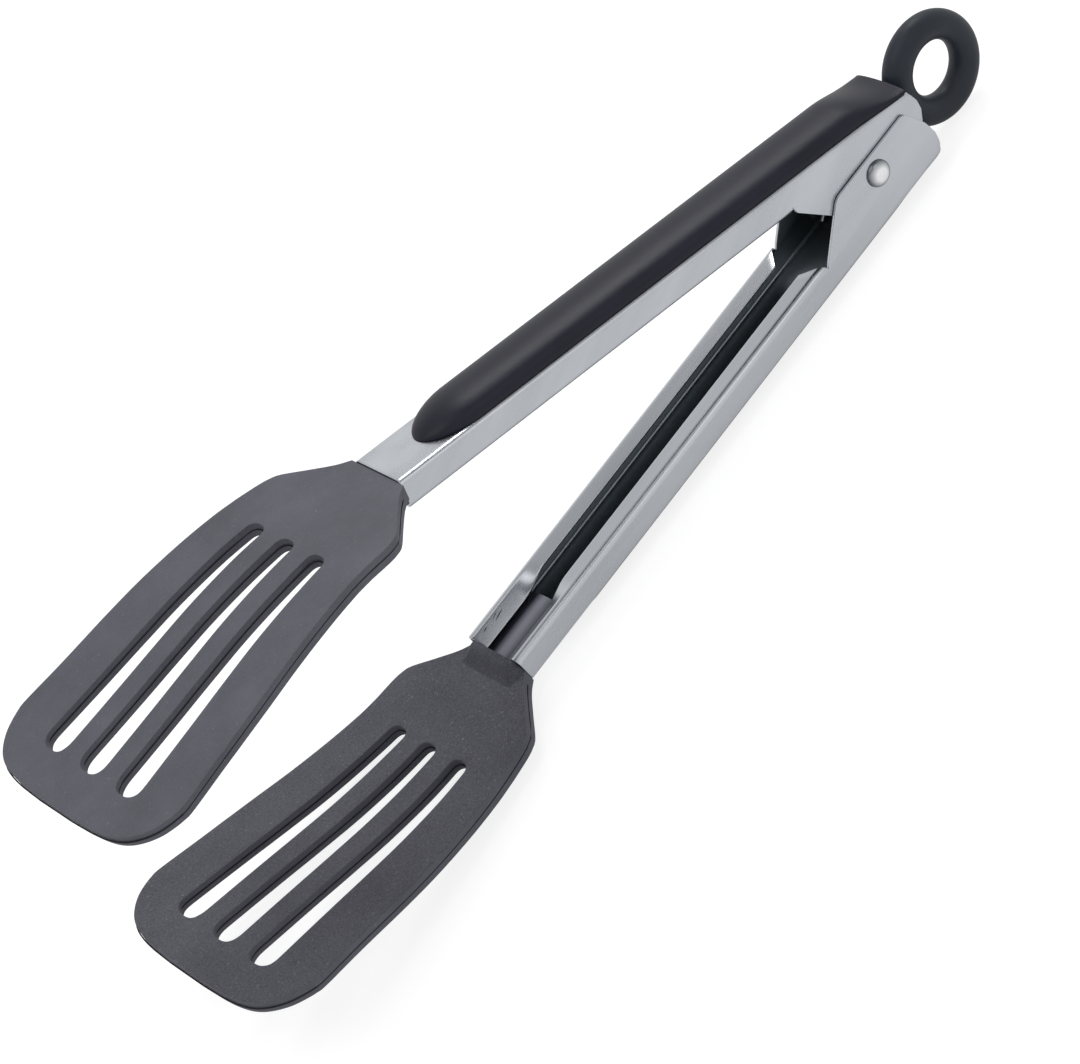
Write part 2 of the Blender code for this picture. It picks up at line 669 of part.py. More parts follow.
def bent_plate(neck):
    """The slotted outline cut flat, divided across its length, bent to the bow and thinned to the tip."""
    length = HEAD_TIP - neck
    side = smooth([(-neck - length * a, HEAD_HALF_WIDTH * w) for a, w in OUTLINE_SHARES], OUTLINE_STEPS)
    outline = side + [Vector((x, -y)) for x, y in reversed(side)]
    slots = []
    for k in (-1, 0, 1):
        centre_in = Vector((-SLOT_IN - SLOT_WIDTH_IN / 2, k * SLOT_PITCH_IN))
        centre_out = Vector((-SLOT_OUT + SLOT_WIDTH_OUT / 2, k * SLOT_PITCH_OUT))
        slots.append(slot_outline(centre_in, centre_out))
    mesh = prism(outline, NECK_THICKNESS, "XY", slots, PLATE_EDGE)
    shape = bmesh.new()
    shape.from_mesh(mesh)
    bmesh.ops.dissolve_limit(
        shape, angle_limit=math.radians(1), use_dissolve_boundaries=False, verts=shape.verts, edges=shape.edges
    )
    for x in np.linspace(HEAD_FLAT_END, HEAD_TIP, BEND_CUTS)[:-1]:
        everything = [*shape.verts, *shape.edges, *shape.faces]
        bmesh.ops.bisect_plane(shape, geom=everything, dist=WELD, plane_co=(-x, 0, 0), plane_no=(1, 0, 0))
    bmesh.ops.triangulate(shape, faces=shape.faces)
    for vert in shape.verts:
        thick = thickness(-vert.co.x)
        share = vert.co.z / NECK_THICKNESS + 1 / 2
        vert.co.z = WEB + PLATE_RECESS + bow(-vert.co.x) + thick * share
    shape.to_mesh(mesh)
    shape.free()
    return mesh


def hull(points):
    """The convex solid round these points."""
    shape = bmesh.new()
    for point in points:
        shape.verts.new(point)
    bmesh.ops.convex_hull(shape, input=shape.verts)
    mesh = bpy.data.meshes.new("hull")
    shape.to_mesh(mesh)
    shape.free()
    return mesh


def head(name, parent):
    """The bent plate joined to the collar against the arm's end and the crowned tongue inside the arm."""
    neck = ARM_LENGTH + SEAT_GAP
    made = place(name, bent_plate(neck), parent, NYLON)
    foot = WEB + PLATE_RECESS + NECK_THICKNESS / 4
    plate_top = WEB + PLATE_RECESS + NECK_THICKNESS * COLLAR_FOOT_SHARE
    collar_top = LIP_TOP - SHEET / 2
    corners = []
    for y in (-1, 1):
        for z in (foot, plate_top):
            corners += [(-neck, y * COLLAR_HALF_WIDTH, z), (-neck - COLLAR_LENGTH, y * COLLAR_HALF_WIDTH, z)]
        corners.append((-neck, y * COLLAR_TOP_HALF_WIDTH, collar_top))
        corners.append((-neck - COLLAR_TOP_LENGTH, y * COLLAR_TOP_HALF_WIDTH, collar_top))
    boolean(made, tool(name + " collar", hull(corners), parent), "UNION")
    low = INNER_WEB + SEAT_GAP
    crown = [(TONGUE_HALF_WIDTH, low), (-TONGUE_HALF_WIDTH, low)]
    for k in range(9):
        share = k / 4 - 1
        crown.append((TONGUE_HALF_WIDTH * share, low + TONGUE_HEIGHT - TONGUE_CROWN * share * share))
    root = COLLAR_TOP_LENGTH / 2
    tongue = prism([Vector(p) for p in crown], TONGUE_LENGTH + root, "YZ")
    tongue.transform(Matrix.Translation((-neck + (TONGUE_LENGTH - root) / 2, 0, 0)))
    boolean(made, tool(name + " tongue", tongue, parent), "UNION")
    return made


TONGS = bpy.data.collections.new("serving_tongs")
CUTTERS = bpy.data.collections.new("cutters")
STEEL = material("brushed stainless steel", (0.62, 0.64, 0.66), 1.0, 0.32)
NYLON = material("dark grey nylon", (0.085, 0.085, 0.095), 0.0, 0.55)
PLASTIC = material("black plastic", (0.025, 0.027, 0.033), 0.0, 0.45)
SPRING_STEEL = material("spring steel", (0.42, 0.42, 0.43), 1.0, 0.35)


def main():
    for old in list(bpy.data.objects):
        bpy.data.objects.remove(old)
    bpy.context.scene.collection.children.link(TONGS)
    bpy.context.scene.collection.children.link(CUTTERS)
    pin = Vector((-BOX_CENTRE, 0, -FLOOR))
    frames = {}
    for name, turn in (("lower arm frame", (0, 0, 0)), ("upper arm frame", (math.pi, OPENING, 0))):
        frames[name] = bpy.data.objects.new(name, None)
        TONGS.objects.link(frames[name])
        frames[name].location = pin
        frames[name].rotation_euler = turn
    lower, upper = frames.values()
    steel_arm("lower_arm", LOWER_WIDTH, lower_outline(), lower)
    steel_arm("upper_arm", UPPER_WIDTH, upper_outline(), upper)
    place("lower_grip", grip(), lower, PLASTIC)
    place("upper_grip", grip(), upper, PLASTIC)
    head("lower_head", lower)
    head("upper_head", upper)
    place("hinge_rivet", rivet(), lower, STEEL)
    place("torsion_spring", torsion_spring(), lower, SPRING_STEEL)
    ring_slider(lower)


main()
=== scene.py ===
# %% [markdown]
# # Serving tongs with slotted heads
# The tongs are two folded steel channels on a riveted, sprung hinge. Each carries a bent nylon head with
# three slots and a half-round black grip, and a pull ring at the hinge end locks them shut. This script
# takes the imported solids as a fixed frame, and gives every piece its fine surface and its finish.
# Lengths are in metres, with +X from the heads to the ring, +Y along the hinge pin and +Z upwards.

# %% Load the frame
import math

import bmesh
import bpy
import numpy as np
from mathutils import Matrix, Vector


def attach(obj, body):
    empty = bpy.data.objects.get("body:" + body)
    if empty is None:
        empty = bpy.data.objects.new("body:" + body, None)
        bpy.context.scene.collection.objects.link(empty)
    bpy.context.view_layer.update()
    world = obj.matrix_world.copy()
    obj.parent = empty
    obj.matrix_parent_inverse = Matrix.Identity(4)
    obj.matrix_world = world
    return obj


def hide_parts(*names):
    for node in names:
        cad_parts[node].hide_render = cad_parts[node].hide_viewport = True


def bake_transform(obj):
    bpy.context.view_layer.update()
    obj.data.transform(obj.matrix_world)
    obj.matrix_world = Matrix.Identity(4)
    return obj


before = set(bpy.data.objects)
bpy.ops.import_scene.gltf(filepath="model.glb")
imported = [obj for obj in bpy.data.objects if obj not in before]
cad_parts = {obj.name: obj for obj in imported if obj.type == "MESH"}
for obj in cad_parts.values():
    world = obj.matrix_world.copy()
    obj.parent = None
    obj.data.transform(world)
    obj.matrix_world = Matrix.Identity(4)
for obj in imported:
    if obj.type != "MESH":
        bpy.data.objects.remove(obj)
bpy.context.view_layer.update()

# %% [markdown]
# ## One frame for each arm
# Both arms are folded alike, so each piece is drawn once, in its arm's own frame: the pin is the Y axis,
# the heads point along -X and the web, which is the channel's back, faces -Z. The lower arm only shifts
# to the pin. The upper arm is the same frame turned over and swung open by 17 degrees. Two functions do
# this on the points, so every object stays at the origin.

# %% Arm frames
MM = 0.001
PIN = np.array([91.18, 0.0, 15.4]) * MM
OPENING = math.radians(17.0)
ARMS = ("lower", "upper")


def on_lower(points):
    """A point p of the lower arm's frame lies at p + pin."""
    return points + PIN


def on_upper(points):
    """Turn over about X, so y and z change sign, then swing about Y by the opening, then shift to the pin."""
    x, y, z = np.moveaxis(points, -1, 0)
    c, s = math.cos(OPENING), math.sin(OPENING)
    return np.stack([x * c - z * s, -y, -x * s - z * c], axis=-1) + PIN


FRAMES = {
    "lower": (on_lower, "lower half"),
    "upper": (on_upper, "upper half"),
    "ring": (on_lower, "pull ring"),
}
print("pin at", PIN / MM, "mm")

# %% [markdown]
# ## Surfaces from grids of points
# Nearly every piece here is a grid: a formula gives a point for each pair of parameters, numpy works out
# all the points at once, and each square of four neighbours becomes a face. Flat ends and the tall
# cheeks are single faces with many corners. Stock shapes could be edited into the same forms, but a
# formula keeps every measure by its name and is easy to change.


# %% Grid and face
def grid(points, around=False, flip=False):
    """Points (rows, columns, 3), and for each r, c the quad (r, c), (r, c + 1), (r + 1, c + 1), (r + 1, c).
    around joins the last column to the first, and flip turns the faces over."""
    rows, columns = points.shape[:2]
    index = np.arange(rows * columns).reshape(rows, columns)
    if around:
        index = np.hstack([index, index[:, :1]])
    quads = np.stack([index[:-1, :-1], index[:-1, 1:], index[1:, 1:], index[1:, :-1]], axis=-1)
    quads = quads.reshape(-1, 4)
    return points.reshape(-1, 3), (quads[:, ::-1] if flip else quads).tolist()


def face(points, flip=False):
    """One flat face with a corner at each point."""
    order = list(range(len(points)))
    return np.asarray(points, float), [order[::-1] if flip else order]


# %% [markdown]
# ## One object for each piece
# A piece is one or more grids and faces, welded where they meet. A closed form has its faces turned
# outwards, and an open sheet keeps them as drawn, because Solidify works from them. Each piece rides on
# one body of the hinge, except the spring, which stays where it is drawn.

# %% Pieces
WELD = 0.002 * MM


def welded_mesh(name, parts, closed):
    """Joins parts of (points, faces) into one mesh, and welds the points that lie on each other."""
    verts, faces = np.empty((0, 3)), []
    for points, polygons in parts:
        faces += [[len(verts) + i for i in polygon] for polygon in polygons]
        verts = np.vstack([verts, points])
    mesh = bpy.data.meshes.new(name)
    mesh.from_pydata(verts.tolist(), [], faces)
    shape = bmesh.new()
    shape.from_mesh(mesh)
    bmesh.ops.remove_doubles(shape, verts=shape.verts, dist=WELD)
    bmesh.ops.dissolve_degenerate(shape, edges=shape.edges, dist=WELD)
    if closed:
        bmesh.ops.recalc_face_normals(shape, faces=shape.faces)
    shape.to_mesh(mesh)
    shape.free()
    return mesh


def new_object(name, data):
    """An object with this data, in the scene."""
    made = bpy.data.objects.new(name, data)
    bpy.context.scene.collection.objects.link(made)
    return made


def share_group(made, shares):
    """A vertex group that holds each point's share of a modifier's effect."""
    group = made.vertex_groups.new(name="share")
    levels, where = np.unique(np.round(shares, 3), return_inverse=True)
    for k, level in enumerate(levels):
        group.add(np.flatnonzero(where == k).tolist(), float(level), "REPLACE")


def piece(name, parts, arm, finish, closed=True, angle=40, weigh=None, bends=None):
    """One object, placed by its arm's function. weigh works out each drawn point's share for a modifier.
    With bends given, the piece rides on no body and stays where it is drawn; the two places are not read."""
    place, body = FRAMES[arm]
    mesh = welded_mesh(name, parts, closed)
    made = new_object(name, mesh)
    drawn = np.empty(len(mesh.vertices) * 3)
    mesh.vertices.foreach_get("co", drawn)
    drawn = drawn.reshape(-1, 3)
    if weigh is not None:
        share_group(made, weigh(drawn))
    mesh.vertices.foreach_set("co", place(drawn).ravel())
    for coat in finish if isinstance(finish, tuple) else (finish,):
        mesh.materials.append(coat)
    mesh.shade_smooth()
    mesh.set_sharp_from_angle(angle=math.radians(angle))
    if bends:
        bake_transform(made)
    else:
        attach(made, body)
    print(f"{name}: {len(mesh.vertices)} points, {len(mesh.polygons)} faces")
    return made


# %% [markdown]
# Two modifiers finish the pieces. Solidify gives a drawn skin its thickness, and the piece's second
# finish on its new inner side. Bevel rounds the sharp edges, as on any pressed or moulded piece, so that
# they catch the light.


# %% Modifiers
def thicken(made, depth, group=""):
    """Grows the wall inwards from the drawn outer skin, by the group's share of the depth."""
    wall = made.modifiers.new("Wall", "SOLIDIFY")
    wall.thickness = depth
    wall.offset = -1
    wall.use_even_offset = True
    wall.vertex_group = group
    wall.material_offset = 1


def bevel(made, width, segments, angle=50):
    """Rounds the edges that are sharper than the angle."""
    rounded = made.modifiers.new("Rounded edges", "BEVEL")
    rounded.width = width
    rounded.segments = segments
    rounded.limit_method = "ANGLE"
    rounded.angle_limit = math.radians(angle)


# %% [markdown]
# ## Camera
# A long lens looks down along the tongs from the near side, rolled so that they cross the picture from
# the upper right to the lower left. Its values come from matching the tongs' edges to the picture.

# %% Camera
CAMERA_PLACE = Vector((-171.72, -651.11, 573.44)) * MM
CAMERA_TARGET = Vector((-10.81, 16.72, 6.16)) * MM
CAMERA_ROLL = math.radians(-43.315)
LENS = 137.79

view = bpy.data.cameras.new("camera")
view.lens = LENS
camera = new_object("camera", view)
aim = (CAMERA_PLACE - CAMERA_TARGET).to_track_quat("Z", "Y").to_matrix()
turned = (aim @ Matrix.Rotation(CAMERA_ROLL, 3, "Z")).to_4x4()
camera.matrix_world = Matrix.Translation(CAMERA_PLACE) @ turned
bpy.context.scene.camera = camera
bpy.context.scene.view_settings.view_transform = "Standard"
print("camera at", CAMERA_PLACE)

# %% [markdown]
# ## Shader sums in Python
# A material is a little program on numbers and colours. This class wraps a socket, so that noise * 0.5
# or 1 - mask adds the Math node by itself, and add() makes every other node. The node editor could hold
# the same sums, but here each one reads as it would on paper.


# %% Socket class
class Socket:
    """A value in a material. With socket None it stands for the material's tree itself."""

    def __init__(self, tree, socket=None):
        self.tree = tree
        self.socket = socket

    def add(self, kind, inputs=None, out=0, **settings):
        """Adds a node: first its settings, then the values or links of its sockets."""
        node = self.tree.nodes.new(kind)
        for key, value in settings.items():
            setattr(node, key, value)
        for key, value in (inputs or {}).items():
            if isinstance(value, Socket):
                self.tree.links.new(value.socket, node.inputs[key])
            else:
                node.inputs[key].default_value = value
        return Socket(self.tree, node.outputs[out])

    def math(self, operation, *terms):
        """A Math node on one or two terms."""
        return self.add("ShaderNodeMath", dict(enumerate(terms)), operation=operation)

    def __add__(self, other):
        return self.math("ADD", self, other)

    def __sub__(self, other):
        return self.math("SUBTRACT", self, other)

    def __rsub__(self, other):
        return self.math("SUBTRACT", other, self)

    def __mul__(self, other):
        return self.math("MULTIPLY", self, other)

    __radd__ = __add__
    __rmul__ = __mul__

    def between(self, low, high):
        """0 below low, 1 above high, straight in between. With low above high it falls instead."""
        return self.add("ShaderNodeMapRange", {0: self, 1: low, 2: high, 3: 0.0, 4: 1.0})

    def mix(self, dark, light):
        """The colour dark where this is 0, light where it is 1."""
        dark, light = (c if isinstance(c, Socket) else (*c, 1.0) for c in (dark, light))
        inputs = {0: self, 6: dark, 7: light}
        return self.add("ShaderNodeMix", inputs, out=2, data_type="RGBA", clamp_factor=True)


# %% [markdown]
# These helpers start a material and name the nodes that every finish uses. All patterns read Object
# coordinates, so they stay on a piece when it moves.


# %% Material helpers
def material(name, **constants):
    """A new material, whose constants hold all over, and its tree as a Socket."""
    made = bpy.data.materials.new(name)
    made.use_nodes = True
    shader = made.node_tree.nodes["Principled BSDF"]
    for key, value in constants.items():
        shader.inputs[key.replace("_", " ")].default_value = value
    print("finish:", name)
    return made, Socket(made.node_tree)


def feed(tree, **links):
    """Links the values that vary over the surface to the shader's sockets."""
    shader = tree.tree.nodes["Principled BSDF"]
    for key, value in links.items():
        tree.tree.links.new(value.socket, shader.inputs[key.replace("_", " ")])


def object_place(tree):
    """The place in Object coordinates."""
    return tree.add("ShaderNodeTexCoord", out=3)


def axis_part(tree, vector, axis):
    """The part of a vector along axis 0, 1 or 2."""
    return tree.add("ShaderNodeSeparateXYZ", {0: vector}, out=axis)


def noise(tree, where, scale, detail=2.0, roughness=0.5):
    """Noise from 0 to 1, with a mean of about 0.5."""
    inputs = {"Vector": where, "Scale": scale, "Detail": detail, "Roughness": roughness}
    return tree.add("ShaderNodeTexNoise", inputs)


def bump(tree, height, distance, strength):
    """Tilts the light as if the surface rose by height times distance."""
    return tree.add("ShaderNodeBump", {"Height": height, "Distance": distance, "Strength": strength})


# %% [markdown]
# ## Steel
# The arms are satin stainless sheet. Its finish is fine lines along the arm, so the noise is stretched:
# quick across the arm, slow along it. The lines change roughness and a very small bump, and a wide, soft
# noise stands for the uneven shine of handled steel. A Mapping node turns the pattern about Y, so that
# the upper arm's lines follow its slope. An anisotropic shader would stretch the shine too, but it
# leaves no lines to see. The sheet's inside is rougher and painted darker: painted shade for the
# hollow of the channel.

# %% Patterns on steel
MARK_RIM = 0.55
# Each mark: centre, turn about Z, half length, half width
PRESSED_MARKS = (
    ((-32.3 * MM, 5.9 * MM, 10.2 * MM), math.radians(9), 1.7 * MM, 0.17 * MM),
    ((-33.0 * MM, 6.4 * MM, 10.4 * MM), math.radians(9), 1.2 * MM, 0.12 * MM),
    ((-36.6 * MM, 6.2 * MM, 10.4 * MM), math.radians(7), 0.8 * MM, 0.17 * MM),
)


def along_arm(tree, slope, stretch):
    """Object coordinates turned along the arm and stretched, so that noise on them makes lines."""
    turn = {"Vector": object_place(tree), "Rotation": (0.0, slope, 0.0)}
    turned = tree.add("ShaderNodeMapping", turn)
    return tree.add("ShaderNodeMapping", {"Vector": turned, "Scale": stretch})


def pressed_mark(tree, centre, turn, half_length, half_width):
    """1 inside a small oval on the sheet, fading to 0 at its rim: the length of the place in the oval's
    own units."""
    inputs = {"Vector": object_place(tree), "Location": centre, "Rotation": (0.0, 0.0, turn)}
    inputs["Scale"] = (half_length, half_width, half_length)
    oval = tree.add("ShaderNodeMapping", inputs, vector_type="TEXTURE")
    return tree.add("ShaderNodeVectorMath", {0: oval}, out=1, operation="LENGTH").between(1.0, MARK_RIM)


# %% Satin steel, and its inside with painted shade
LINE_STRETCH = (60.0, 3600.0, 3600.0)
PATCH_STRETCH = (16.0, 120.0, 120.0)
LINE_SHARE = 0.2
LINE_ROUGHNESS, PATCH_ROUGHNESS = 0.04, 0.08
LINE_HEIGHT = 0.05
STEEL_RELIEF = 0.05 * MM
STEEL_RELIEF_STRENGTH = 0.2
MARK_SHARE = 0.8
# The marks' dark colour is painted shade in their dents.
MARK_PAINTED_SHADE = (0.03, 0.035, 0.04)
SATIN = ((0.455, 0.475, 0.505), (0.545, 0.565, 0.60), 0.28)
# The inside's darker colours are painted shade for the hollow of the channel.
INSIDE_PAINTED_SHADE = ((0.19, 0.215, 0.235), (0.29, 0.32, 0.345), 0.36)


def steel_sheet(name, slope, dark, light, rough, marks=()):
    """Colour and roughness follow the patches and a little of the lines. Marks are dark and pressed in."""
    made, tree = material(name, Metallic=1.0)
    lines = noise(tree, along_arm(tree, slope, LINE_STRETCH), 1.0, 3.0)
    patches = noise(tree, along_arm(tree, slope, PATCH_STRETCH), 1.0, 2.0)
    colour = (lines * LINE_SHARE + patches * (1 - LINE_SHARE)).between(0.3, 0.7).mix(dark, light)
    height = lines * LINE_HEIGHT
    for measures in marks:
        mark = pressed_mark(tree, *measures)
        # Each mark is pressed in and painted dark, a painted shade in the dent.
        colour = (mark * MARK_SHARE).mix(colour, MARK_PAINTED_SHADE)
        height = height - mark
    middle = rough - (LINE_ROUGHNESS + PATCH_ROUGHNESS) / 2
    feed(
        tree,
        Base_Color=colour,
        Roughness=lines * LINE_ROUGHNESS + patches * PATCH_ROUGHNESS + middle,
        Normal=bump(tree, height, STEEL_RELIEF, STEEL_RELIEF_STRENGTH),
    )
    return made


# The inside of each arm's sheet gets the darker finish, painted shade.
STEEL = {}
for arm, slope, marks in (("lower", 0.0, PRESSED_MARKS), ("upper", OPENING, ())):
    outside = steel_sheet(f"satin_steel_{arm}", slope, *SATIN, marks)
    STEEL[arm] = outside, steel_sheet(f"painted_shade_inside_{arm}", slope, *INSIDE_PAINTED_SHADE)

# %% [markdown]
# The rivet's dome is bright in the middle and painted dark towards its rim: painted shade where the
# dome meets the arm, with some grime. The distance from the pin's axis gives that: a Mapping node
# centres the place on the pin, and a multiply drops its Y part. The spring is darker drawn wire, with
# fine spots in its shine.

# %% Rivet and spring steel
RIVET_HEAD = 3.1 * MM
BRIGHT_DOME = (0.86, 0.87, 0.88)
# The rim's dark colour is painted shade where the dome meets the arm, with some grime.
RIM_SHADE_AND_GRIME = (0.16, 0.17, 0.19)
RIM_START = 0.45
WIRE_COLOURS = ((0.30, 0.30, 0.31), (0.46, 0.46, 0.47))
SMOOTH_RELIEF = 0.02 * MM


def polished_steel():
    """The rim's share grows from 0 at 0.45 of the head's radius to 1 at its edge."""
    made, tree = material("polished_rivet", Metallic=1.0)
    where = object_place(tree)
    inputs = {"Vector": where, "Location": tuple(PIN), "Scale": (RIVET_HEAD, 1.0, RIVET_HEAD)}
    round_pin = tree.add("ShaderNodeMapping", inputs, vector_type="TEXTURE")
    flat = tree.add("ShaderNodeVectorMath", {0: round_pin, 1: (1.0, 0.0, 1.0)}, operation="MULTIPLY")
    # The rim's share darkens the colour: painted shade with some grime.
    rim = tree.add("ShaderNodeVectorMath", {0: flat}, out=1, operation="LENGTH").between(RIM_START, 1.0)
    spots = noise(tree, where, 900.0, 3.0)
    feed(
        tree,
        Base_Color=(rim + spots * 0.15).mix(BRIGHT_DOME, RIM_SHADE_AND_GRIME),
        Roughness=spots * 0.10 + 0.24,
        Normal=bump(tree, spots, SMOOTH_RELIEF, 0.2),
    )
    return made


def spring_wire():
    """One fine noise drives colour, roughness and bump alike."""
    made, tree = material("spring_wire", Metallic=1.0)
    drawn = noise(tree, object_place(tree), 1500.0, 3.0)
    feed(
        tree,
        Base_Color=drawn.mix(*WIRE_COLOURS),
        Roughness=drawn * 0.2 + 0.22,
        Normal=bump(tree, drawn, SMOOTH_RELIEF, 0.3),
    )
    return made


RIVET_STEEL = polished_steel()
SPRING_STEEL = spring_wire()

# %% [markdown]
# ## Nylon
# The heads are glass-filled nylon: matt dark grey with a sandy grain and faint pale specks where fibres
# reach the skin. Their inner faces, which grip the food, are moulded sandier than the outer ones. The
# collar is painted a little darker, a painted shade for its sloped front. Three noises make it: slow
# clouds, sand, and specks, which are only the highest peaks of the third.

# %% Nylon finish
CLOUD_SCALE, SAND_SCALE, FIBRE_SCALE = 60.0, 2300.0, 1700.0
FIBRE_PEAKS = (0.68, 0.80)
FIBRE_PALE = (0.34, 0.34, 0.36)
SAND_RELIEF = 0.1 * MM


def nylon(name, dark, light, grain, specks):
    """Cloudy colour under a sandy grain; specks is the share of the pale colour in a fibre's end."""
    made, tree = material(name, Specular_IOR_Level=0.22)
    where = object_place(tree)
    cloud = noise(tree, where, CLOUD_SCALE, 4.0, 0.6)
    sand = noise(tree, where, SAND_SCALE, 2.0, 0.7)
    ends = noise(tree, where, FIBRE_SCALE, 1.0).between(*FIBRE_PEAKS)
    body = (cloud * (1 - grain) + sand * grain).between(0.36, 0.64).mix(dark, light)
    feed(
        tree,
        Base_Color=(ends * specks).mix(body, FIBRE_PALE),
        Roughness=sand * 0.14 + 0.50,
        Normal=bump(tree, sand, SAND_RELIEF, 0.35 + grain * 0.4),
    )
    return made


NYLON_OUTER = nylon("nylon_outer", (0.093, 0.093, 0.113), (0.128, 0.128, 0.155), 0.35, 0.25)
NYLON_INNER = nylon("nylon_inner", (0.072, 0.072, 0.087), (0.136, 0.136, 0.163), 0.7, 0.55)
# The collar's darker colours are painted shade on the same nylon.
NYLON_COLLAR_SHADED = nylon("nylon_collar_painted_shade", (0.056, 0.057, 0.070), (0.104, 0.105, 0.128), 0.7, 0.5)

# %% [markdown]
# The tongue inside the arm is the same nylon, but smooth. Its crown is painted pale, a painted highlight
# along its top, and its sides are painted dark, a painted shade. The distance from the middle sets the
# colour, and streaks along the tongue break it up.

# %% Tongue with painted highlight and shade
# The pale crown is a painted highlight, and the dark sides are painted shade.
HIGHLIGHT_WITHIN, SHADE_FROM = 0.4 * MM, 3.0 * MM
STREAK_STRETCH = (120.0, 1500.0, 120.0)


def tongue_painted_light(name, dark, light):
    """Painted light: 1 near the middle, 0 at the sides' painted shade, times 0.7 to 1.3 by streaks."""
    made, tree = material(name, Specular_IOR_Level=0.4)
    where = object_place(tree)
    beside = tree.math("ABSOLUTE", axis_part(tree, where, 1))
    crown = beside.between(SHADE_FROM, HIGHLIGHT_WITHIN)
    stretched = tree.add("ShaderNodeMapping", {"Vector": where, "Scale": STREAK_STRETCH})
    streaks = noise(tree, stretched, 1.0, 3.0)
    feed(
        tree,
        Base_Color=(crown * (streaks * 0.6 + 0.7)).mix(dark, light),
        Roughness=streaks * 0.15 + 0.30,
        Normal=bump(tree, streaks, 0.03 * MM, 0.3),
    )
    return made


NYLON_TONGUE_PAINTED_LIGHT = tongue_painted_light("nylon_tongue_painted_light", (0.036, 0.038, 0.052), (0.23, 0.236, 0.28))

# %% [markdown]
# ## Black plastic
# The grips and the ring are smoother and blacker than the heads, with a faint grain that only softens
# their shine. The heads' mould seam has it too, nearly without shine, and is painted near black: a
# painted shade that shows as a dark line.

# %% Black plastic finish
BLACK_CLOUD_SCALE, BLACK_GRAIN_SCALE = 90.0, 2600.0
CLOUD_ROUGHNESS, GRAIN_ROUGHNESS = 0.08, 0.10
GRAIN_RELIEF = 0.04 * MM


def black_plastic(name, dark, light, rough, shine):
    """Clouds mix the two blacks, and clouds and grain vary the roughness round its middle value."""
    made, tree = material(name, Specular_IOR_Level=shine)
    where = object_place(tree)
    cloud = noise(tree, where, BLACK_CLOUD_SCALE, 4.0, 0.6)
    grain = noise(tree, where, BLACK_GRAIN_SCALE, 2.0, 0.6)
    middle = rough - (CLOUD_ROUGHNESS + GRAIN_ROUGHNESS) / 2
    feed(
        tree,
        Base_Color=cloud.between(0.3, 0.7).mix(dark, light),
        Roughness=cloud * CLOUD_ROUGHNESS + grain * GRAIN_ROUGHNESS + middle,
        Normal=bump(tree, grain, GRAIN_RELIEF, 0.35),
    )
    return made


# The seam's near black is painted shade. The seam itself is the heads' nylon.
SEAM_PAINTED_SHADE = black_plastic("nylon_seam_painted_shade", (0.020, 0.020, 0.026), (0.032, 0.032, 0.040), 0.65, 0.05)
GRIP_BLACK = black_plastic("grip_black", (0.006, 0.0065, 0.015), (0.010, 0.0105, 0.023), 0.42, 0.26)
RING_BLACK = black_plastic("ring_black", (0.011, 0.015, 0.023), (0.018, 0.024, 0.036), 0.50, 0.33)

# %% [markdown]
# ## The folded arms
# An arm is one sheet, folded in a press. It could be extruded from a drawn section and then bent and
# trimmed by hand. Here its outer face is a section carried along X, because then the crimp and the
# slanted ends are small changes of the same formula. The section is the web, a bend and a side wall on
# each side, and on the handle a second bend and the lip.

# %% Measures of the channel
SHEET = 0.7 * MM
WIDTH = {"lower": 18.3 * MM, "upper": 16.66 * MM}
WEB = -11.3 * MM
CHANNEL_HEIGHT = 7.0 * MM
LIP_TOP = WEB + CHANNEL_HEIGHT
BEND = 1.5 * MM
BEND_STEPS = 10
WALL_TOP = LIP_TOP - BEND
ARM_END = 131.0 * MM
HINGE_REACH = 16.4 * MM
WEB_REACH = 14.6 * MM
BEND_REACH = HINGE_REACH * 0.975
SQUEEZE_START = 8.0 * MM


def bend_points(centre_y, centre_z, start, turn):
    """Points on an arc of the bend's radius: centre + radius * (cos, sin) of an even sweep of angles from
    start. With an array of turns, each row has its own sweep."""
    angle = start + np.multiply.outer(turn, np.linspace(0, 1, BEND_STEPS + 1))
    return np.stack([centre_y + BEND * np.cos(angle), centre_z + BEND * np.sin(angle)], axis=-1)


def channel_section(arm):
    """Points (y, z) of the web, the lower bend and the wall on one side, after their mirror image."""
    outside, flat = WIDTH[arm] / 2, WIDTH[arm] / 2 - BEND
    web = np.column_stack([np.linspace(0, flat, 10)[:-1], np.full(9, WEB)])
    low = bend_points(flat, WEB + BEND, -math.pi / 2, math.pi / 2)
    wall = np.column_stack([np.full(6, outside), np.linspace(WEB + BEND, WALL_TOP, 7)[1:]])
    half = np.vstack([web, low, wall])
    return np.vstack([half[:0:-1] * (-1, 1), half])


def channel(arm, x):
    """The section at every station x. Towards the hinge end the stations are squeezed, so that the web
    ends a little before the wall's top does."""
    section = channel_section(arm)
    heights = [WEB, WEB + BEND / 3, WEB + 2 * BEND, WALL_TOP]
    reach = np.interp(section[:, 1], heights, [WEB_REACH, WEB_REACH, BEND_REACH, HINGE_REACH])
    squeeze = np.clip((x - SQUEEZE_START) / (HINGE_REACH - SQUEEZE_START), 0, 1)
    along = x[:, None] - squeeze[:, None] * (HINGE_REACH - reach)
    return np.concatenate([along[..., None], np.broadcast_to(section, (*along.shape, 2))], axis=-1)


# %% [markdown]
# At the head's end the lips are pressed down over the head's tongue, so the second bend turns further
# there. Near the hinge the lips end in a slant, where the sheet is cut free to become the cheek.

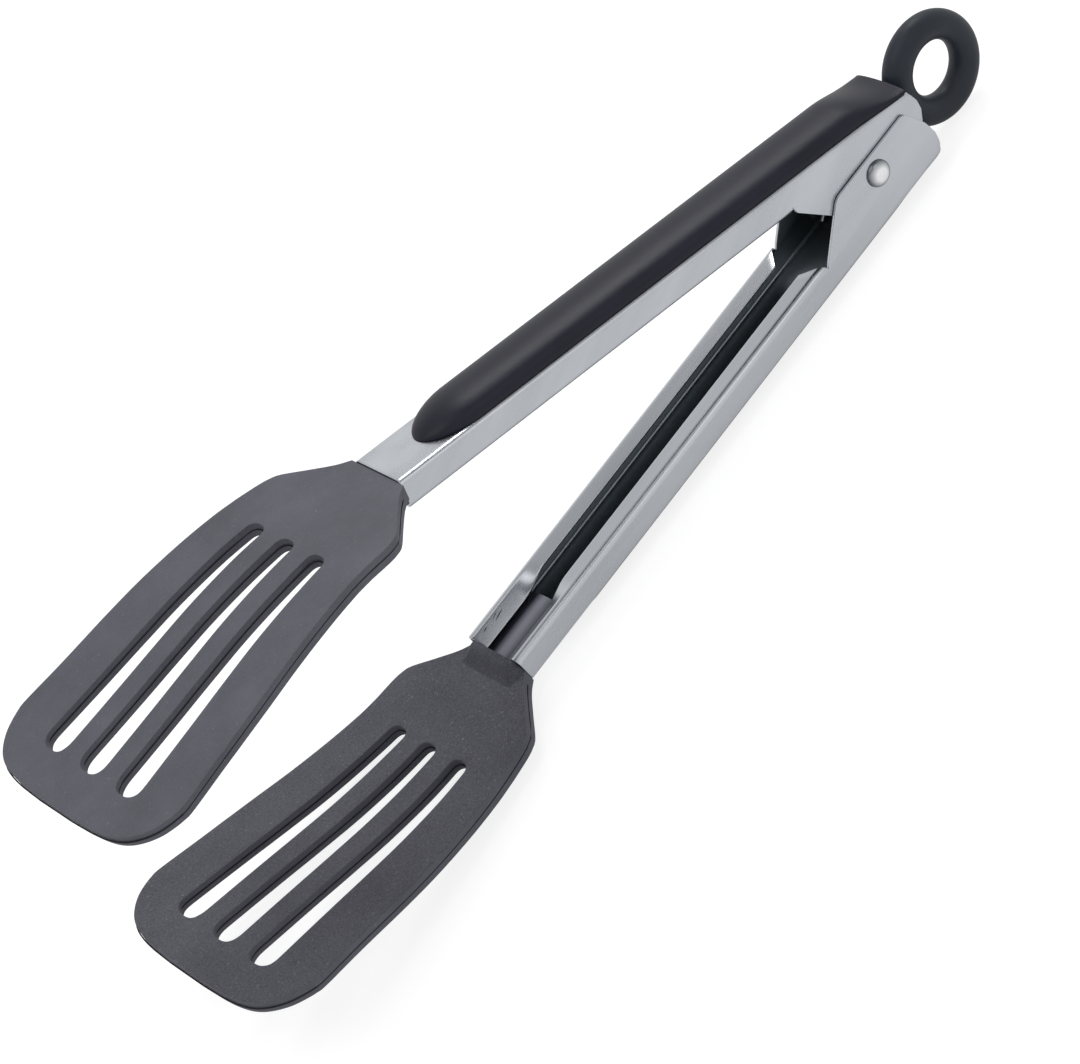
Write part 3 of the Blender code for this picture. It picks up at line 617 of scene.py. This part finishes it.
# %% Lips
LIP_WIDTH = 3.7 * MM
LIP_END = 22.4 * MM
LIP_SLANT = 4.4 * MM
SLANT_START = 34.0 * MM
LIP_TILT = math.radians(4.0)
CRIMP_ANGLE = math.radians(28.0)
CRIMP_LENGTH = 22.0 * MM
CRIMP_RUN = 9.0 * MM


def crimp(distance):
    """How far the lips turn down: a little all along, and more where they are pressed down near the head,
    by 3 t t - 2 t t t over the run."""
    t = np.clip((CRIMP_LENGTH - distance) / CRIMP_RUN, 0, 1)
    return LIP_TILT + CRIMP_ANGLE * t * t * (3 - 2 * t)


def lip(arm, x):
    """The second bend turns by a right angle and the crimp, and the flat lip goes on from its end along
    (-sin turn, cos turn). The slant draws a point back, the more the nearer it is to the lip's edge."""
    flat = WIDTH[arm] / 2 - BEND
    turn = math.pi / 2 + crimp(x + ARM_END)
    arc = bend_points(flat, WALL_TOP, 0.0, turn)
    away = np.stack([-np.sin(turn), np.cos(turn)], axis=-1)
    tail = arc[:, -1:] + away[:, None] * np.linspace(0, LIP_WIDTH, 10)[None, 1:, None]
    section = np.concatenate([arc, tail], axis=1)
    y = section[..., 0]
    inwards = (y.max() - y) / (y.max() - y.min())
    share = np.clip((x + SLANT_START) / (SLANT_START - LIP_END), 0, 1)
    along = x[:, None] - share[:, None] * LIP_SLANT * inwards
    return np.concatenate([along[..., None], section], axis=-1)


# %% [markdown]
# At the hinge the wall has no lip and runs up into a tall cheek that holds the rivet. A cheek is a flat
# face whose outline is the arm's side view, so it is given by its corners, each with its own radius. The
# upper arm's cheek has the step that the cross bolt catches on.

# %% Cheeks
CHEEK_START = -22.3
CORNER_STEPS = 9
# Corners (x, z, radius) of a cheek's side view in mm, from its front foot over the top to its back foot
CHEEK_CORNERS = {
    "lower": (
        (CHEEK_START, -5.8, 0), (CHEEK_START + 0.7, -4.9, 0.4), (-11.0, 4.5, 4.0), (12.8, 4.5, 1.6),
        (15.8, -1.9, 4.1), (16.4, -5.8, 0),
    ),
    "upper": (
        (CHEEK_START, -5.8, 0), (CHEEK_START + 0.7, -3.9, 0.4), (-13.3, 2.6, 0.6), (-2.0, 9.1, 1.0),
        (3.6, 9.1, 1.0), (5.2, 8.2, 0.4), (5.2, 0.4, 0.3), (15.6, -2.4, 1.2), (16.4, -5.8, 0),
    ),
}


def unit(vectors):
    """Each vector divided by its length."""
    return vectors / np.linalg.norm(vectors, axis=-1, keepdims=True)


def cheek_outline(arm):
    """Each corner becomes an arc. Its ends lie radius / tan(half angle) from the corner, and its points
    run straight from end to end and are then pushed out to the radius."""
    corners = np.array(CHEEK_CORNERS[arm], float)
    places, radii = corners[:, :2], corners[:, 2]
    outline = [places[0]]
    for k in range(1, len(corners) - 1):
        before, after = (unit(places[j] - places[k]) for j in (k - 1, k + 1))
        half = math.acos(float(before @ after)) / 2
        centre = places[k] + unit(before + after) * radii[k] / math.sin(half)
        reach = radii[k] / math.tan(half)
        t = np.linspace(0, 1, CORNER_STEPS)[:, None]
        chord = places[k] + before * reach * (1 - t) + after * reach * t - centre
        outline.extend(centre + unit(chord) * radii[k])
    outline.append(places[-1])
    return np.array(outline) * MM


def at_side(outline, y):
    """An outline of points (x, z), set at this place along the pin."""
    return np.stack([outline[:, 0], np.full(len(outline), y), outline[:, 1]], axis=-1)


def cheek(arm, x, outline, side):
    """One face: along the wall's top edge, whose points it shares, and back over the outline."""
    foot = np.column_stack([x, np.full(len(x), WALL_TOP)])
    around = np.concatenate([foot, outline[-2:0:-1]])
    return face(at_side(around, WIDTH[arm] / 2 * side), flip=side > 0)


# %% Make the arms
def arm_parts(arm):
    """The channel over the whole length, the two lips on the handle, and the two cheeks at the hinge."""
    outline = cheek_outline(arm)
    x = np.unique(np.concatenate([
        np.linspace(-ARM_END, -ARM_END + CRIMP_LENGTH, 40),
        np.linspace(-ARM_END + CRIMP_LENGTH, -LIP_END, 30),
        np.linspace(outline[0, 0], HINGE_REACH, 26),
    ]))
    far_lip = lip(arm, x[x <= -LIP_END + WELD])
    lips = [grid(far_lip), grid(far_lip * (1, -1, 1), flip=True)]
    cheek_x = x[x >= outline[0, 0] - WELD]
    return [grid(channel(arm, x)), *lips, *(cheek(arm, cheek_x, outline, side) for side in (1, -1))]


for arm in ARMS:
    made = piece(f"{arm}_arm_steel", arm_parts(arm), arm, STEEL[arm], closed=False)
    thicken(made, SHEET)
    bevel(made, 0.12 * MM, 2)
    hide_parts(f"{arm}_arm")

# %% [markdown]
# ## The slotted heads
# A head is a moulded plate, 3.6 mm thick at the neck and 2.6 mm at the tip. It is flat at the neck and
# bows towards the other head further out. Its side edge and its bow are smooth curves through a few
# measured shares.

# %% Measures of the heads
HEAD_TIP = 224.0 * MM
HEAD_HALF_WIDTH = 30.7 * MM
HEAD_RISE = 16.2 * MM
HEAD_FLAT_END = 152.0 * MM
NECK_THICKNESS = 3.6 * MM
TIP_THICKNESS = 2.6 * MM
PLATE_RECESS = 0.4 * MM
NECK = ARM_END + 0.1 * MM
CURVE_STEPS = 12
OUTLINE_SHARES = (
    (0.0, 0.30), (0.031, 0.375), (0.074, 0.525), (0.117, 0.68), (0.139, 0.72), (0.17, 0.745),
    (0.252, 0.778), (0.413, 0.85), (0.575, 0.915), (0.736, 0.963), (0.844, 1.0), (0.871, 0.993),
    (0.898, 0.967), (0.925, 0.925), (0.952, 0.853), (0.973, 0.765), (0.987, 0.65), (0.996, 0.47),
    (1.0, 0.2),
)
BOW_SHARES = (
    (0.0, 0.0), (0.08, 0.025), (0.2, 0.105), (0.34, 0.235), (0.48, 0.40), (0.62, 0.575),
    (0.76, 0.745), (0.88, 0.885), (1.0, 1.0),
)


def smooth_through(points):
    """Catmull-Rom: at each point the curve runs parallel to the line that joins its two neighbours."""
    p = np.asarray(points, float)
    p = np.vstack([2 * p[0] - p[1], p, 2 * p[-1] - p[-2]])
    t = (np.arange(CURVE_STEPS) / CURVE_STEPS)[None, :, None]
    a, b, c, d = (p[k : len(p) - 3 + k, None, :] for k in range(4))
    curve = (
        b * (2 * t**3 - 3 * t**2 + 1) + (c - a) / 2 * (t**3 - 2 * t**2 + t)
        + c * (3 * t**2 - 2 * t**3) + (d - b) / 2 * (t**3 - t**2)
    )
    return np.vstack([curve.reshape(-1, p.shape[1]), p[-2]])


def half_width(distance):
    """Half width of the head at this distance from the pin."""
    along, wide = smooth_through(OUTLINE_SHARES).T
    return HEAD_HALF_WIDTH * np.interp((distance - NECK) / (HEAD_TIP - NECK), along, wide)


def bow(distance):
    """Height of the head's outer face above its flat."""
    along, rise = smooth_through(BOW_SHARES).T
    return HEAD_RISE * np.interp((distance - HEAD_FLAT_END) / (HEAD_TIP - HEAD_FLAT_END), along, rise)


def thickness(distance):
    """Even taper from the neck's thickness to the tip's."""
    return np.interp(distance, (ARM_END, HEAD_TIP), (NECK_THICKNESS, TIP_THICKNESS))


print("head", round((HEAD_TIP - NECK) / MM, 1), "mm long")

# %% [markdown]
# The slots could be cut with a Boolean, but that leaves a rough mesh at their rims. Here the outer face is
# a grid of rows across the plate, in four strips with the three slots between them. A slot's half width
# grows from nothing, widens evenly towards the tip and shrinks again, so beyond the slot's ends the
# strips share their edges.

# %% Outer face of a head
SLOT_IN, SLOT_OUT = 154.6 * MM, 215.0 * MM
IN_HALF, OUT_HALF = 2.7 * MM, 4.0 * MM
FIRST, LAST = SLOT_IN + IN_HALF, SLOT_OUT - OUT_HALF
IN_PITCH, OUT_PITCH = 11.2 * MM, 13.6 * MM
PITCH_LIMIT = 0.455
SLOT_POWER = 2.7
NECK_ROWS, END_ROWS, SLOT_ROWS, TIP_ROWS = 30, 14, 56, 26
STRIP_COLUMNS = 10


def slot_half(distance):
    """Half width of a slot: an even taper, and full round ends r * (1 - (past / r) ** p) ** (1 / p), a
    little squarer than the circle that p = 2 would give."""
    straight = np.interp(distance, (FIRST, LAST), (IN_HALF, OUT_HALF))
    past = np.maximum(FIRST - distance, 0) + np.maximum(distance - LAST, 0)
    return straight * np.clip(1 - (past / straight) ** SLOT_POWER, 0, None) ** (1 / SLOT_POWER)


def slot_pitch(distance):
    """Distance between the middles of two slots, on an even taper."""
    return IN_PITCH + (OUT_PITCH - IN_PITCH) * (distance - FIRST) / (LAST - FIRST)


def quarter(count):
    """Even angles from 0 to a quarter turn."""
    return np.linspace(0, math.pi / 2, count)


def plate_parts():
    """Strip point (d, t): y goes evenly from one edge of the strip to the other, x is -d and z the bow.
    The rows lie closer where the outline turns, by a quarter sine."""
    end, tip = np.sin(quarter(END_ROWS)), np.sin(quarter(TIP_ROWS))
    d = np.unique(np.round(np.concatenate([
        np.linspace(NECK, SLOT_IN, NECK_ROWS), FIRST - IN_HALF * end, np.linspace(FIRST, LAST, SLOT_ROWS),
        LAST + OUT_HALF * end, SLOT_OUT + (HEAD_TIP - SLOT_OUT) * tip,
    ]), 9))
    wide, gap = half_width(d), slot_half(d)
    centre = np.minimum(slot_pitch(d), PITCH_LIMIT * wide)
    strips = ((-wide, -centre - gap), (-centre + gap, -gap), (gap, centre - gap), (centre + gap, wide))
    t = np.linspace(0, 1, STRIP_COLUMNS)
    x, z = (np.repeat(v[:, None], STRIP_COLUMNS, axis=1) for v in (-d, WEB + PLATE_RECESS + bow(d)))
    parts = []
    for left, right in strips:
        y = left[:, None] + (right - left)[:, None] * t
        parts.append(grid(np.stack([x, y, z], axis=-1), flip=True))
    return parts


# %% [markdown]
# Where the head meets the arm, a collar stands on the plate against the arm's end, and slopes down to the
# plate on its three free sides. Rings of points shrink from its foot to its top while their height
# rises. Behind it a tongue with a crowned top lies inside the arm.

# %% Collar
COLLAR_FOOT = (4.9 * MM, 8.9 * MM)
COLLAR_TOP = (1.5 * MM, 6.6 * MM)
COLLAR_CORNER = 1.2 * MM
COLLAR_RINGS = 14
PLATE_TOP = WEB + PLATE_RECESS + NECK_THICKNESS
COLLAR_RISE = LIP_TOP - SHEET / 2 - PLATE_TOP


def collar_ring(length, half):
    """The collar's outline at one height: from the arm's end out, round two corners, and back."""
    a = quarter(7)
    x = -NECK - length + COLLAR_CORNER * (1 - np.cos(a))
    y = half - COLLAR_CORNER * (1 - np.sin(a))
    side = np.stack([x, y], axis=-1)
    return np.vstack([[(-NECK, half)], side[::-1], side * (1, -1), [(-NECK, -half)]])


def collar_parts():
    """Ring t runs from foot to top: extents change evenly, and the height by half of t and half of
    3 t t - 2 t t t, so the slope is nearly straight, with a soft edge at its foot and its top."""
    rings = []
    for t in np.linspace(0, 1, COLLAR_RINGS):
        length, half = (a + (b - a) * t for a, b in zip(COLLAR_FOOT, COLLAR_TOP))
        ring = collar_ring(length, half)
        z = PLATE_TOP + COLLAR_RISE * (t + t * t * (3 - 2 * t)) / 2
        rings.append(np.column_stack([ring, np.full(len(ring), z)]))
    low = rings[0] - (0, 0, NECK_THICKNESS / 3)
    return [grid(np.stack([low, *rings]), around=True), face(low, flip=True), face(rings[-1])]


# %% Tongue
TONGUE_LENGTH = 16.5 * MM
TONGUE_HALF = 6.6 * MM
TONGUE_LOW = WEB + SHEET + 0.1 * MM
TONGUE_HEIGHT = 3.1 * MM
TONGUE_CROWN = 1.5 * MM


def tongue_parts():
    """The crown's height falls with the square of the distance from the middle."""
    share = np.linspace(-1, 1, 25)
    top = TONGUE_LOW + TONGUE_HEIGHT - TONGUE_CROWN * share**2
    crown = np.column_stack([TONGUE_HALF * share, top])
    profile = np.vstack([[(TONGUE_HALF, TONGUE_LOW), (-TONGUE_HALF, TONGUE_LOW)], crown])
    ends = (-NECK - COLLAR_TOP[0] / 2, -NECK + TONGUE_LENGTH)
    points = np.stack([np.column_stack([np.full(len(profile), x), profile]) for x in ends])
    return [grid(points, around=True), face(points[0]), face(points[1], flip=True)]


# %% [markdown]
# The two halves of the mould leave a fine seam half way up every rim, round the plate and round each
# slot. It stands out by a tenth of a millimetre. A bump would leave the rim's outline smooth, so the
# seam is a thin tube, more than half sunk in the wall.

# %% Mould seams
SEAM_RADIUS = 0.16 * MM
SEAM_SINK = 0.04 * MM
SEAM_SIDES = 8
SEAM_START = NECK + 2 * MM


def tube(path, radius, sides, across):
    """Point (k, a): path point k + radius * (cos a * side + sin a * up). The side is square to the path and
    as near as can be to the direction across, and up is square to both."""
    along = unit(np.gradient(path, axis=0))
    side = unit(across - np.sum(across * along, axis=1, keepdims=True) * along)
    up = np.cross(along, side)
    a = np.linspace(0, math.tau, sides + 1)[:-1, None]
    points = path[:, None] + radius * (np.cos(a) * side[:, None] + np.sin(a) * up[:, None])
    return [grid(points, around=True), face(points[0]), face(points[-1], flip=True)]


def seam(distance, y, sense):
    """A tube along a rim, half way up the plate and drawn in from the wall by the sink. Outwards is square
    to the rim within the plate's plane."""
    along = unit(np.gradient(np.stack([-distance, y], axis=-1), axis=0))
    outwards = np.stack([along[:, 1], -along[:, 0], np.zeros(len(y))], axis=-1) * sense
    z = WEB + PLATE_RECESS + bow(distance) + thickness(distance) / 2
    path = np.stack([-distance, y, z], axis=-1) - outwards * SEAM_SINK
    return tube(path, SEAM_RADIUS, SEAM_SIDES, outwards)


def seam_parts():
    """The plate's rim goes out along one edge and back along the other. A slot's rim has two edges, whose
    points lie closer at the slot's ends by a cosine."""
    side = SEAM_START + (HEAD_TIP - SEAM_START) * np.sin(quarter(60))
    wide = half_width(side)
    parts = seam(np.concatenate([side, side[::-1]]), np.concatenate([wide, -wide[::-1]]), 1)
    turn = np.linspace(0, math.pi, 45)
    d = (SLOT_IN + SLOT_OUT) / 2 - (SLOT_OUT - SLOT_IN) / 2 * np.cos(turn)
    for k in (-1, 0, 1):
        for sense in (-1, 1):
            parts += seam(d, k * slot_pitch(d) + sense * slot_half(d), sense)
    return parts


# %% Make the heads
def plate_share(points):
    """The share of the neck's thickness at a point of the plate."""
    return thickness(-points[:, 0]) / NECK_THICKNESS


for arm in ARMS:
    skins = (NYLON_OUTER, NYLON_INNER)
    plate = piece(f"{arm}_head_plate", plate_parts(), arm, skins, closed=False, weigh=plate_share)
    thicken(plate, NECK_THICKNESS, "share")
    bevel(plate, 0.5 * MM, 3)
    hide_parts(f"{arm}_head")
    collar = piece(f"{arm}_head_collar", collar_parts(), arm, NYLON_COLLAR_SHADED, angle=60)
    tongue = piece(f"{arm}_head_tongue", tongue_parts(), arm, NYLON_TONGUE_PAINTED_LIGHT)
    bevel(tongue, 0.35 * MM, 3)
    rim = piece(f"{arm}_head_seam", seam_parts(), arm, SEAM_PAINTED_SHADE, angle=80)

# %% [markdown]
# ## The grips
# A grip is a half-round bar. A stretched cylinder would have a blunt nose, so its section is half an
# oval that grows from the nose like a quarter ellipse. At the hinge end its height falls smoothly and
# its width grows a little, into a flat flange nearly as wide as the arm. The lower grip hides behind its
# arm's wall in the main view, so it is drawn a little narrower and rounder.

# %% Grips
GRIP_HALF = {"lower": 6.9 * MM, "upper": 7.4 * MM}
GRIP_ROUNDNESS = {"lower": 1.0, "upper": 0.75}
GRIP_HEIGHT = 4.0 * MM
GRIP_TOP = WEB - 0.1 * MM
NOSE = 120.3 * MM
NOSE_LENGTH = 13.0 * MM
NOSE_POWER = 1.4
TAIL_START, TAIL_END = -1.0 * MM, 13.2 * MM
FLANGE_HEIGHT = 1.1 * MM
FLANGE_HALF = 8.1 * MM
GRIP_END = 14.2 * MM


def grip_parts(arm):
    """Point (x, a): y = half width * cos a, depth = height * (sin a) ** roundness, for a from 0 to a half
    turn. In the tail the height falls to the flange's by 3 t t - 2 t t t."""
    x = np.concatenate([
        -NOSE + NOSE_LENGTH * (1 - np.cos(quarter(26))),
        np.linspace(-NOSE + NOSE_LENGTH, TAIL_START, 40)[1:-1],
        np.linspace(TAIL_START, TAIL_END, 30), [GRIP_END],
    ])
    into = np.clip((x + NOSE) / NOSE_LENGTH, 0, 1)
    rise = np.sqrt(1 - (1 - into) ** 2)
    past = np.clip((x - TAIL_START) / (TAIL_END - TAIL_START), 0, 1)
    past = past * past * (3 - 2 * past)
    high = rise**NOSE_POWER * (GRIP_HEIGHT + (FLANGE_HEIGHT - GRIP_HEIGHT) * past)
    wide = GRIP_HALF[arm] * rise + (FLANGE_HALF - GRIP_HALF[arm]) * past
    a = np.linspace(0, math.pi, 49)
    y = wide[:, None] * np.cos(a)
    z = GRIP_TOP - high[:, None] * np.abs(np.sin(a)) ** GRIP_ROUNDNESS[arm]
    points = np.stack([np.repeat(x[:, None], len(a), axis=1), y, z], axis=-1)
    return [grid(points, around=True), face(points[-1])]


for arm in ARMS:
    made = piece(f"{arm}_grip_bar", grip_parts(arm), arm, GRIP_BLACK, angle=50)
    bevel(made, 0.3 * MM, 3, 55)
    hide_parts(f"{arm}_grip")

# %% [markdown]
# ## Pull ring and slider
# The ring is a torus: a small circle carried round a large one. It pulls a flat bar between the cheeks,
# with a long hole for the rivet and a cross bolt that catches the upper arm's step.

# %% Pull ring
RING_CENTRE = 28.6 * MM
RING_DROP = 1.4 * MM
RING_RADIUS = 9.65 * MM
RING_TUBE = 3.39 * MM


def ring_parts():
    """Point (a, b): distance from the centre R + r cos b in the ring's plane, r sin b across it."""
    a = np.linspace(0, math.tau, 145)[:-1, None]
    b = np.linspace(0, math.tau, 49)[None, :-1]
    r = RING_RADIUS + RING_TUBE * np.cos(b)
    x = RING_CENTRE + r * np.cos(a)
    y = RING_TUBE * np.sin(b) + 0 * a
    points = np.stack([x, y, r * np.sin(a) - RING_DROP], axis=-1)
    return [grid(np.concatenate([points, points[:1]]), around=True)]


ring = piece("pull_ring", ring_parts(), "ring", RING_BLACK)
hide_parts("pull_ring_lock")

# %% [markdown]
# The bar needs no Boolean for its hole: its outline and its hole have as many points, and the rows of one
# grid go round from the outline's near edge over its far edge into the hole and back.

# %% Slider and cross bolt
SLIDER_FRONT, SLIDER_BACK = -10.73 * MM, RING_CENTRE - RING_RADIUS
SLIDER_MIDDLE = -RING_DROP / 2
SLIDER_HALF_HEIGHT = 4.1 * MM
SLIDER_HALF_WIDTH = 2.8 * MM
SLIDER_NOSE = 2.4 * MM
HOLE_FRONT, HOLE_BACK = -8.33 * MM, 1.83 * MM
HOLE_HALF = 1.83 * MM
HOLE_CORNER = HOLE_HALF * 0.999
BOLT_FRONT, BOLT_BACK = 5.6 * MM, 8.0 * MM
BOLT_HALF_HEIGHT = 0.6 * MM
BOLT_HALF_LENGTH = 8.2 * MM
BOLT_CORNER = 0.3 * MM


def box_outline(x0, x1, middle, half, radius):
    """Four quarter circles round the corners of a rectangle, joined by its sides."""
    left, right = x0 + radius, x1 - radius
    low, high = middle - half + radius, middle + half - radius
    centres = np.array([(right, high), (left, high), (left, low), (right, low)])
    a = quarter(CORNER_STEPS) + np.arange(4)[:, None] * math.pi / 2
    return (centres[:, None] + radius * np.stack([np.cos(a), np.sin(a)], axis=-1)).reshape(-1, 2)


def slider_parts():
    """Rows: outline at the near side, outline and hole at the far side, hole and outline at the near."""
    bar = box_outline(SLIDER_FRONT, SLIDER_BACK, SLIDER_MIDDLE, SLIDER_HALF_HEIGHT, SLIDER_NOSE)
    hole = box_outline(HOLE_FRONT, HOLE_BACK, 0.0, HOLE_HALF, HOLE_CORNER)
    near, far = -SLIDER_HALF_WIDTH, SLIDER_HALF_WIDTH
    rows = ((bar, near), (bar, far), (hole, far), (hole, near), (bar, near))
    return [grid(np.stack([at_side(outline, y) for outline, y in rows]), around=True)]


def bolt_parts():
    """A rounded bar across the slider: its outline at both ends, with a face on each."""
    bar = box_outline(BOLT_FRONT, BOLT_BACK, -RING_DROP, BOLT_HALF_HEIGHT, BOLT_CORNER)
    ends = at_side(bar, -BOLT_HALF_LENGTH), at_side(bar, BOLT_HALF_LENGTH)
    return [grid(np.stack(ends), around=True), face(ends[0]), face(ends[1], flip=True)]


slider = piece("lock_slider", slider_parts(), "ring", RING_BLACK)
bolt = piece("lock_bolt", bolt_parts(), "ring", RING_BLACK)
bevel(slider, 0.25 * MM, 3)
bevel(bolt, 0.15 * MM, 2)

# %% [markdown]
# ## Rivet and spring
# The rivet is a profile turned round the pin, as on a lathe: a shank between two domes.

# %% Rivet
RIVET_RADIUS = 1.75 * MM
RIVET_DOME = 1.7 * MM
RIVET_SEAT = WIDTH["lower"] / 2 + 0.1 * MM
DOME_POWER = 0.9


def rivet_parts():
    """Point (k, a): profile point k (radius, place along the pin) turned by a round the pin."""
    t = quarter(20)
    dome = np.column_stack([RIVET_HEAD * np.sin(t), RIVET_SEAT + RIVET_DOME * np.cos(t) ** DOME_POWER])
    shank = [(RIVET_RADIUS, RIVET_SEAT), (RIVET_RADIUS, -RIVET_SEAT)]
    profile = np.vstack([dome, shank, dome[::-1] * (1, -1)])
    a = np.linspace(0, math.tau, 65)[:-1]
    r, y = profile[:, :1], profile[:, 1:]
    points = np.stack([r * np.cos(a), y + 0 * a, r * np.sin(a)], axis=-1)
    return [grid(points, around=True)]


made = piece("hinge_rivet_domed", rivet_parts(), "lower", RIVET_STEEL, angle=50)
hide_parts("hinge_rivet")

# %% [markdown]
# The spring is one wire: from the lower web up to a coil on the pin, under the upper web to the other
# coil, and down again. Its legs touch the coil's circle, and a tube follows the whole line. It stays as
# drawn, at the hinge's present opening.

# %% Spring line
WIRE = 0.5 * MM
WIRE_GAP = 0.25 * MM
COIL_RADIUS = 2.6 * MM
COIL_TURNS = 2
COIL_INSIDE = SLIDER_HALF_WIDTH + WIRE_GAP + WIRE
COIL_OUTSIDE = WIDTH["upper"] / 2 - SHEET - WIRE_GAP - WIRE
UPPER_LEG = 11.0 * MM
LOWER_LEG = 10.5 * MM
LOOP_POINTS = 48
CORNER_POINTS = 9


def spring_line():
    """Half the wire: from its foot a straight leg meets the coil's circle, goes round it while it moves in
    along the pin, and leaves it for the bridge, with a quarter circle there."""
    under = -WEB - SHEET - WIRE - WIRE_GAP
    bridge = np.array([-UPPER_LEG, (under + UPPER_LEG * math.sin(OPENING)) / math.cos(OPENING)])
    foot = np.array([-LOWER_LEG, -under])
    start = math.atan2(bridge[1], bridge[0]) - math.acos(COIL_RADIUS / np.linalg.norm(bridge))
    end = math.atan2(foot[1], foot[0]) + math.acos(COIL_RADIUS / np.linalg.norm(foot))
    wrap = (start - end) % math.tau + math.tau * COIL_TURNS
    t = np.linspace(0, 1, round(wrap / math.tau * LOOP_POINTS) + 1)
    angle = start - wrap * (1 - t)
    y = COIL_OUTSIDE + (COIL_INSIDE - COIL_OUTSIDE) * t
    coil = np.stack([COIL_RADIUS * np.cos(angle), y, COIL_RADIUS * np.sin(angle)], axis=-1)
    tip = np.array([bridge[0], COIL_INSIDE, bridge[1]])
    away = unit(tip - coil[-1])
    a = quarter(CORNER_POINTS)[:, None]
    corner = tip - 2 * WIRE * (away * (1 - np.sin(a)) + np.array([0, 1, 0]) * (1 - np.cos(a)))
    return np.vstack([[(foot[0], COIL_OUTSIDE, foot[1])], coil, corner]), away


# %% Make the spring
WIRE_SIDES = 12
BEND_ZONE = 3.0 * MM


def spring_parts():
    """The mirror image completes the line. The tube's side is square to the pin's axis and to the wire, and
    stays the same round the corner into the bridge."""
    half, away = spring_line()
    line = np.vstack([half, half[::-1] * (1, -1, 1)])
    side = np.cross(np.gradient(half, axis=0), (0, 1, 0))
    side[-CORNER_POINTS:] = np.cross(away, (0, 1, 0))
    return tube(line, WIRE, WIRE_SIDES, np.vstack([side, side[::-1]]))


low, high = (Vector(PIN + np.array([0, 0, BEND_ZONE * sense])) for sense in (-1, 1))
made = piece("sprung_wire", spring_parts(), "lower", SPRING_STEEL, angle=60, bends=(low, high))
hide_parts("torsion_spring")

# %% [markdown]
# ## Floor
# The tongs lie on a plain white floor. For the camera and in reflections most of its white is its own
# glow, so that it comes out white and still keeps a soft shadow. More light on the object would whiten
# the floor too, but it would bleach the steel.

# %% Floor
FLOOR_HALF = 6.0
FLOOR_WHITE = (0.93, 0.93, 0.93)
FLOOR_SHADE, FLOOR_GLOW = 0.34, 0.82
MIRROR_SHADE, MIRROR_GLOW = 0.62, 0.38
WHITE = (1.0, 1.0, 1.0, 1.0)


def rays(tree, *kinds):
    """For each kind: 1 for a ray of that kind and 0 for any other."""
    node = tree.add("ShaderNodeLightPath").socket.node
    return [Socket(tree.tree, node.outputs[f"Is {kind} Ray"]) for kind in kinds]


sheet = bpy.data.meshes.new("floor")
corners = np.array([(-1, -1, 0), (1, -1, 0), (1, 1, 0), (-1, 1, 0)], float) * FLOOR_HALF
sheet.from_pydata(corners.tolist(), [], [[0, 1, 2, 3]])
floor = new_object("floor", sheet)
paper, tree = material("white_floor", Roughness=0.9, Specular_IOR_Level=0.0, Emission_Color=WHITE)
seen, mirrored = rays(tree, "Camera", "Glossy")
in_mirror = mirrored.mix(FLOOR_WHITE, (MIRROR_SHADE,) * 3)
feed(
    tree,
    Base_Color=seen.mix(in_mirror, (FLOOR_SHADE,) * 3),
    Emission_Strength=seen * FLOOR_GLOW + mirrored * MIRROR_GLOW,
)
sheet.materials.append(paper)

# %% [markdown]
# ## World
# The world is white for the camera. In reflections it falls off towards the zenith and towards the
# ring's end, which gives the steel the soft greys of a studio's walls. As a light it is dimmer.

# %% World
WORLD_LIGHT = 0.46
ZENITH = 0.45
ZENITH_RANGE = (0.42, 0.82)
RING_END_DIM = 0.16
RING_END_RANGE = (0.2, 0.6)

world = bpy.data.worlds.new("studio")
bpy.context.scene.world = world
world.use_nodes = True
tree = Socket(world.node_tree)
seen, mirrored, through = rays(tree, "Camera", "Glossy", "Transmission")
direction = tree.add("ShaderNodeTexCoord", out=0)
upwards = axis_part(tree, direction, 2).between(*ZENITH_RANGE)
ringwards = axis_part(tree, direction, 0).between(*RING_END_RANGE)
sky = 1 - upwards * (1 - ZENITH) - ringwards * RING_END_DIM
direct = tree.math("MAXIMUM", seen, through)
strength = direct + (1 - direct) * (mirrored * sky + (1 - mirrored) * WORLD_LIGHT)
background = world.node_tree.nodes["Background"]
world.node_tree.links.new(strength.socket, background.inputs["Strength"])
background.inputs["Color"].default_value = WHITE
print("world light:", WORLD_LIGHT)

# %% [markdown]
# ## Lamps
# Three area lamps look at the middle of the tongs, as soft boxes do. The main one stands behind the hinge
# and gives the grips their streak. The top one lights the whole, and a faint one on the near side draws
# a bright line along the folds.

# %% Lamps
# Place and size in metres, power in watts
LAMPS = {
    "main": ((0.72, 0.42, 0.80), (0.45, 0.30), 3.6),
    "top": ((-0.25, 0.0, 1.1), (0.9, 0.9), 3.2),
    "near": ((0.37, -0.61, 0.70), (0.5, 0.36), 0.55),
}
for name, (place, size, power) in LAMPS.items():
    lamp = bpy.data.lights.new(name, "AREA")
    lamp.shape = "RECTANGLE"
    lamp.size, lamp.size_y = size
    lamp.energy = power
    made = new_object(name, lamp)
    made.location = place
    made.rotation_euler = Vector(place).to_track_quat("Z", "Y").to_euler()
print("lamps:", sorted(LAMPS))
